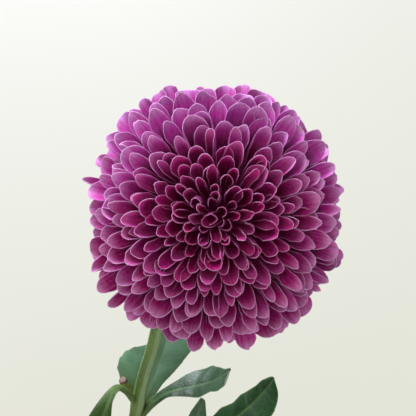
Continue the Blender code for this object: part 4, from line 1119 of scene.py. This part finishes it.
def build_vase():
    outer = smooth_curve(VASE_OUTLINE, 90)
    tang = np.gradient(outer, axis=0)
    tang /= np.linalg.norm(tang, axis=1)[:, None]
    inner = outer + VASE_WALL * np.stack([-tang[:, 1], tang[:, 0]], axis=1)
    inner = inner[inner[:, 1] > VASE_FLOOR + 4.0][::-1]
    rim = smooth_curve([outer[-1], (15.15, 124.5), (14.0, 125.0), (12.9, 124.7), inner[0]], 14)[1:-1]
    floor = smooth_curve([inner[-1], (25.6, VASE_FLOOR + 2.2), (21.0, VASE_FLOOR), (12.0, VASE_FLOOR)], 14)[1:]
    foot = [(0.02, 0.0), (14.0, 0.0), (24.8, 0.0), (25.6, 0.12), (26.5, 0.8)]
    profile = foot + [tuple(p) for p in outer] + [tuple(p) for p in rim] + [tuple(p) for p in inner] + [tuple(p) for p in floor] + [(0.02, VASE_FLOOR)]
    sides = 128
    ang = np.arange(sides) * 2 * math.pi / sides
    pts, foot_v, lip_v = [], [], []
    n_out = len(foot) + len(outer)
    for i, (r, z) in enumerate(profile):
        rings = 0.0
        if len(foot) <= i < n_out:
            # faint throwing rings that the glaze has softened
            rings = (0.10 * math.sin(z * 1.35 + 0.6 * math.sin(z * 0.21)) + 0.05 * math.sin(z * 2.9)) * float(smooth_step(3, 12, z) * smooth_step(124, 112, z))
        rr = r + rings + 0.06 * np.cos(2 * ang + 0.4) * smooth_step(5, 40, z) * (r > 1)
        pts.append(np.stack([rr * np.cos(ang), rr * np.sin(ang), np.full(sides, z)], axis=1))
        uneven = 0.5 * np.sin(3 * ang + 1) + 0.3 * np.sin(7 * ang)
        foot_v.append(smooth_step(3.2, 2.4, z + 0.3 * uneven) * (1.0 if i < n_out else 0.0))
        lip_v.append(np.full(sides, smooth_step(123.6, 124.9, z)))
    nu = len(profile)
    faces = grid_faces(nu, sides, True)
    uu = np.concatenate([[0.0], np.cumsum(np.linalg.norm(np.diff(np.array(profile), axis=0), axis=1))])
    uu = 0.01 + 0.98 * uu / uu[-1]
    i, j = np.meshgrid(np.arange(nu - 1), np.arange(sides), indexing="ij")
    u0, u1 = j / sides, (j + 1) / sides
    fu = np.stack([np.stack([u0, uu[i]], -1), np.stack([u1, uu[i]], -1), np.stack([u1, uu[i + 1]], -1), np.stack([u0, uu[i + 1]], -1)], axis=2).reshape(-1, 4, 2)
    piece = Piece()
    piece.add(np.concatenate(pts), faces, fu, foot=np.concatenate(foot_v), lip=np.concatenate(lip_v))
    piece.build("bottle_vase", glaze_material(), ["vase"])


# ------------------------------------------------------------------ scene
def sky_light(name, towards, energy, angle, colour):
    """Soft light from one side of a wide sky."""
    data = bpy.data.lights.new(name, "SUN")
    data.energy = energy
    data.angle = math.radians(angle)
    data.color = colour
    obj = bpy.data.objects.new(name, data)
    obj.rotation_mode = "QUATERNION"
    obj.rotation_quaternion = Vector([-q for q in towards]).to_track_quat("-Z", "Y")
    bpy.context.scene.collection.objects.link(obj)
    return obj


def build_stage():
    mesh = bpy.data.meshes.new("floor")
    s = 6.0
    mesh.from_pydata([(-s, -s, 0), (s, -s, 0), (s, s, 0), (-s, s, 0)], [], [(0, 1, 2, 3)])
    floor = bpy.data.objects.new("floor", mesh)
    bpy.context.scene.collection.objects.link(floor)
    mat, tree, shader = new_material("floor_paper_painted_light")
    n = Net(tree)
    grain = n.noise(n.coords(), 3.0, 3.0, 0.5)
    away = tree.nodes.new("ShaderNodeVectorMath")
    away.operation = "LENGTH"
    n.link(n.coords(), away.inputs[0])
    apart = tree.nodes.new("ShaderNodeSeparateXYZ")
    n.link(n.coords(), apart.inputs[0])
    # painted light: the floor is painted darker near the vase and lighter far off, as the light falls across it
    painted_light_falloff = n.ramp(away.outputs["Value"], 0.12, 0.98, smooth=False)
    paper_with_painted_light = n.mix(painted_light_falloff, (0.526, 0.518, 0.416), (0.674, 0.670, 0.594))
    # painted shade: darker again on the right side, fading with distance
    beside = n.math("MULTIPLY", n.ramp(apart.outputs["X"], -0.1, 0.35), n.ramp(away.outputs["Value"], 0.9, 2.2, 0.5, 0.0))
    paper_with_painted_light = n.mix(beside, paper_with_painted_light, (0.500, 0.496, 0.390))
    n.link(n.mix(n.math("MULTIPLY", grain, 0.04), paper_with_painted_light, (0.5, 0.5, 0.47)), shader.inputs["Base Color"])
    shader.inputs["Roughness"].default_value = 0.9
    shader.inputs["Specular IOR Level"].default_value = 0.0
    mesh.materials.append(mat)
    world = bpy.data.worlds.new("studio")
    bpy.context.scene.world = world
    world.use_nodes = True
    wt = world.node_tree
    bg = wt.nodes["Background"]
    seen = wt.nodes.new("ShaderNodeLightPath").outputs["Is Camera Ray"]
    both = wt.nodes.new("ShaderNodeMix")
    both.data_type = "RGBA"
    both.inputs[6].default_value = (0.10, 0.10, 0.11, 1.0)
    both.inputs[7].default_value = (0.975, 0.990, 0.963, 1.0)
    wt.links.new(seen, both.inputs[0])
    wt.links.new(both.outputs[2], bg.inputs["Color"])
    sky_light("sky_behind", (-0.36, 0.46, 0.81), 4.7, 42, (0.95, 0.98, 1.10))
    sky_light("sky_front", (-0.15, -0.60, 0.80), 0.80, 60, (1.04, 0.98, 0.92))
    scene = bpy.context.scene
    scene.view_settings.view_transform = "Standard"
    scene.view_settings.look = "None"


def build_camera():
    data = bpy.data.cameras.new("camera")
    data.sensor_width = 36.0
    data.lens = 18.0 / math.tan(math.radians(21.4 / 2))
    data.clip_start, data.clip_end = 0.01, 20.0
    cam = bpy.data.objects.new("camera", data)
    place = BALL + np.array([-2.471, -275.893, 162.140])
    cam.location = Vector(place * MM)
    cam.rotation_mode = "QUATERNION"
    cam.rotation_quaternion = Vector((0.0, math.cos(math.radians(30)), -0.5)).to_track_quat("-Z", "Y")
    bpy.context.scene.collection.objects.link(cam)
    bpy.context.scene.camera = cam


build_camera()
build_stage()
build_vase()
build_stem()
build_receptacle()
build_bracts()
build_florets()
build_leaves()
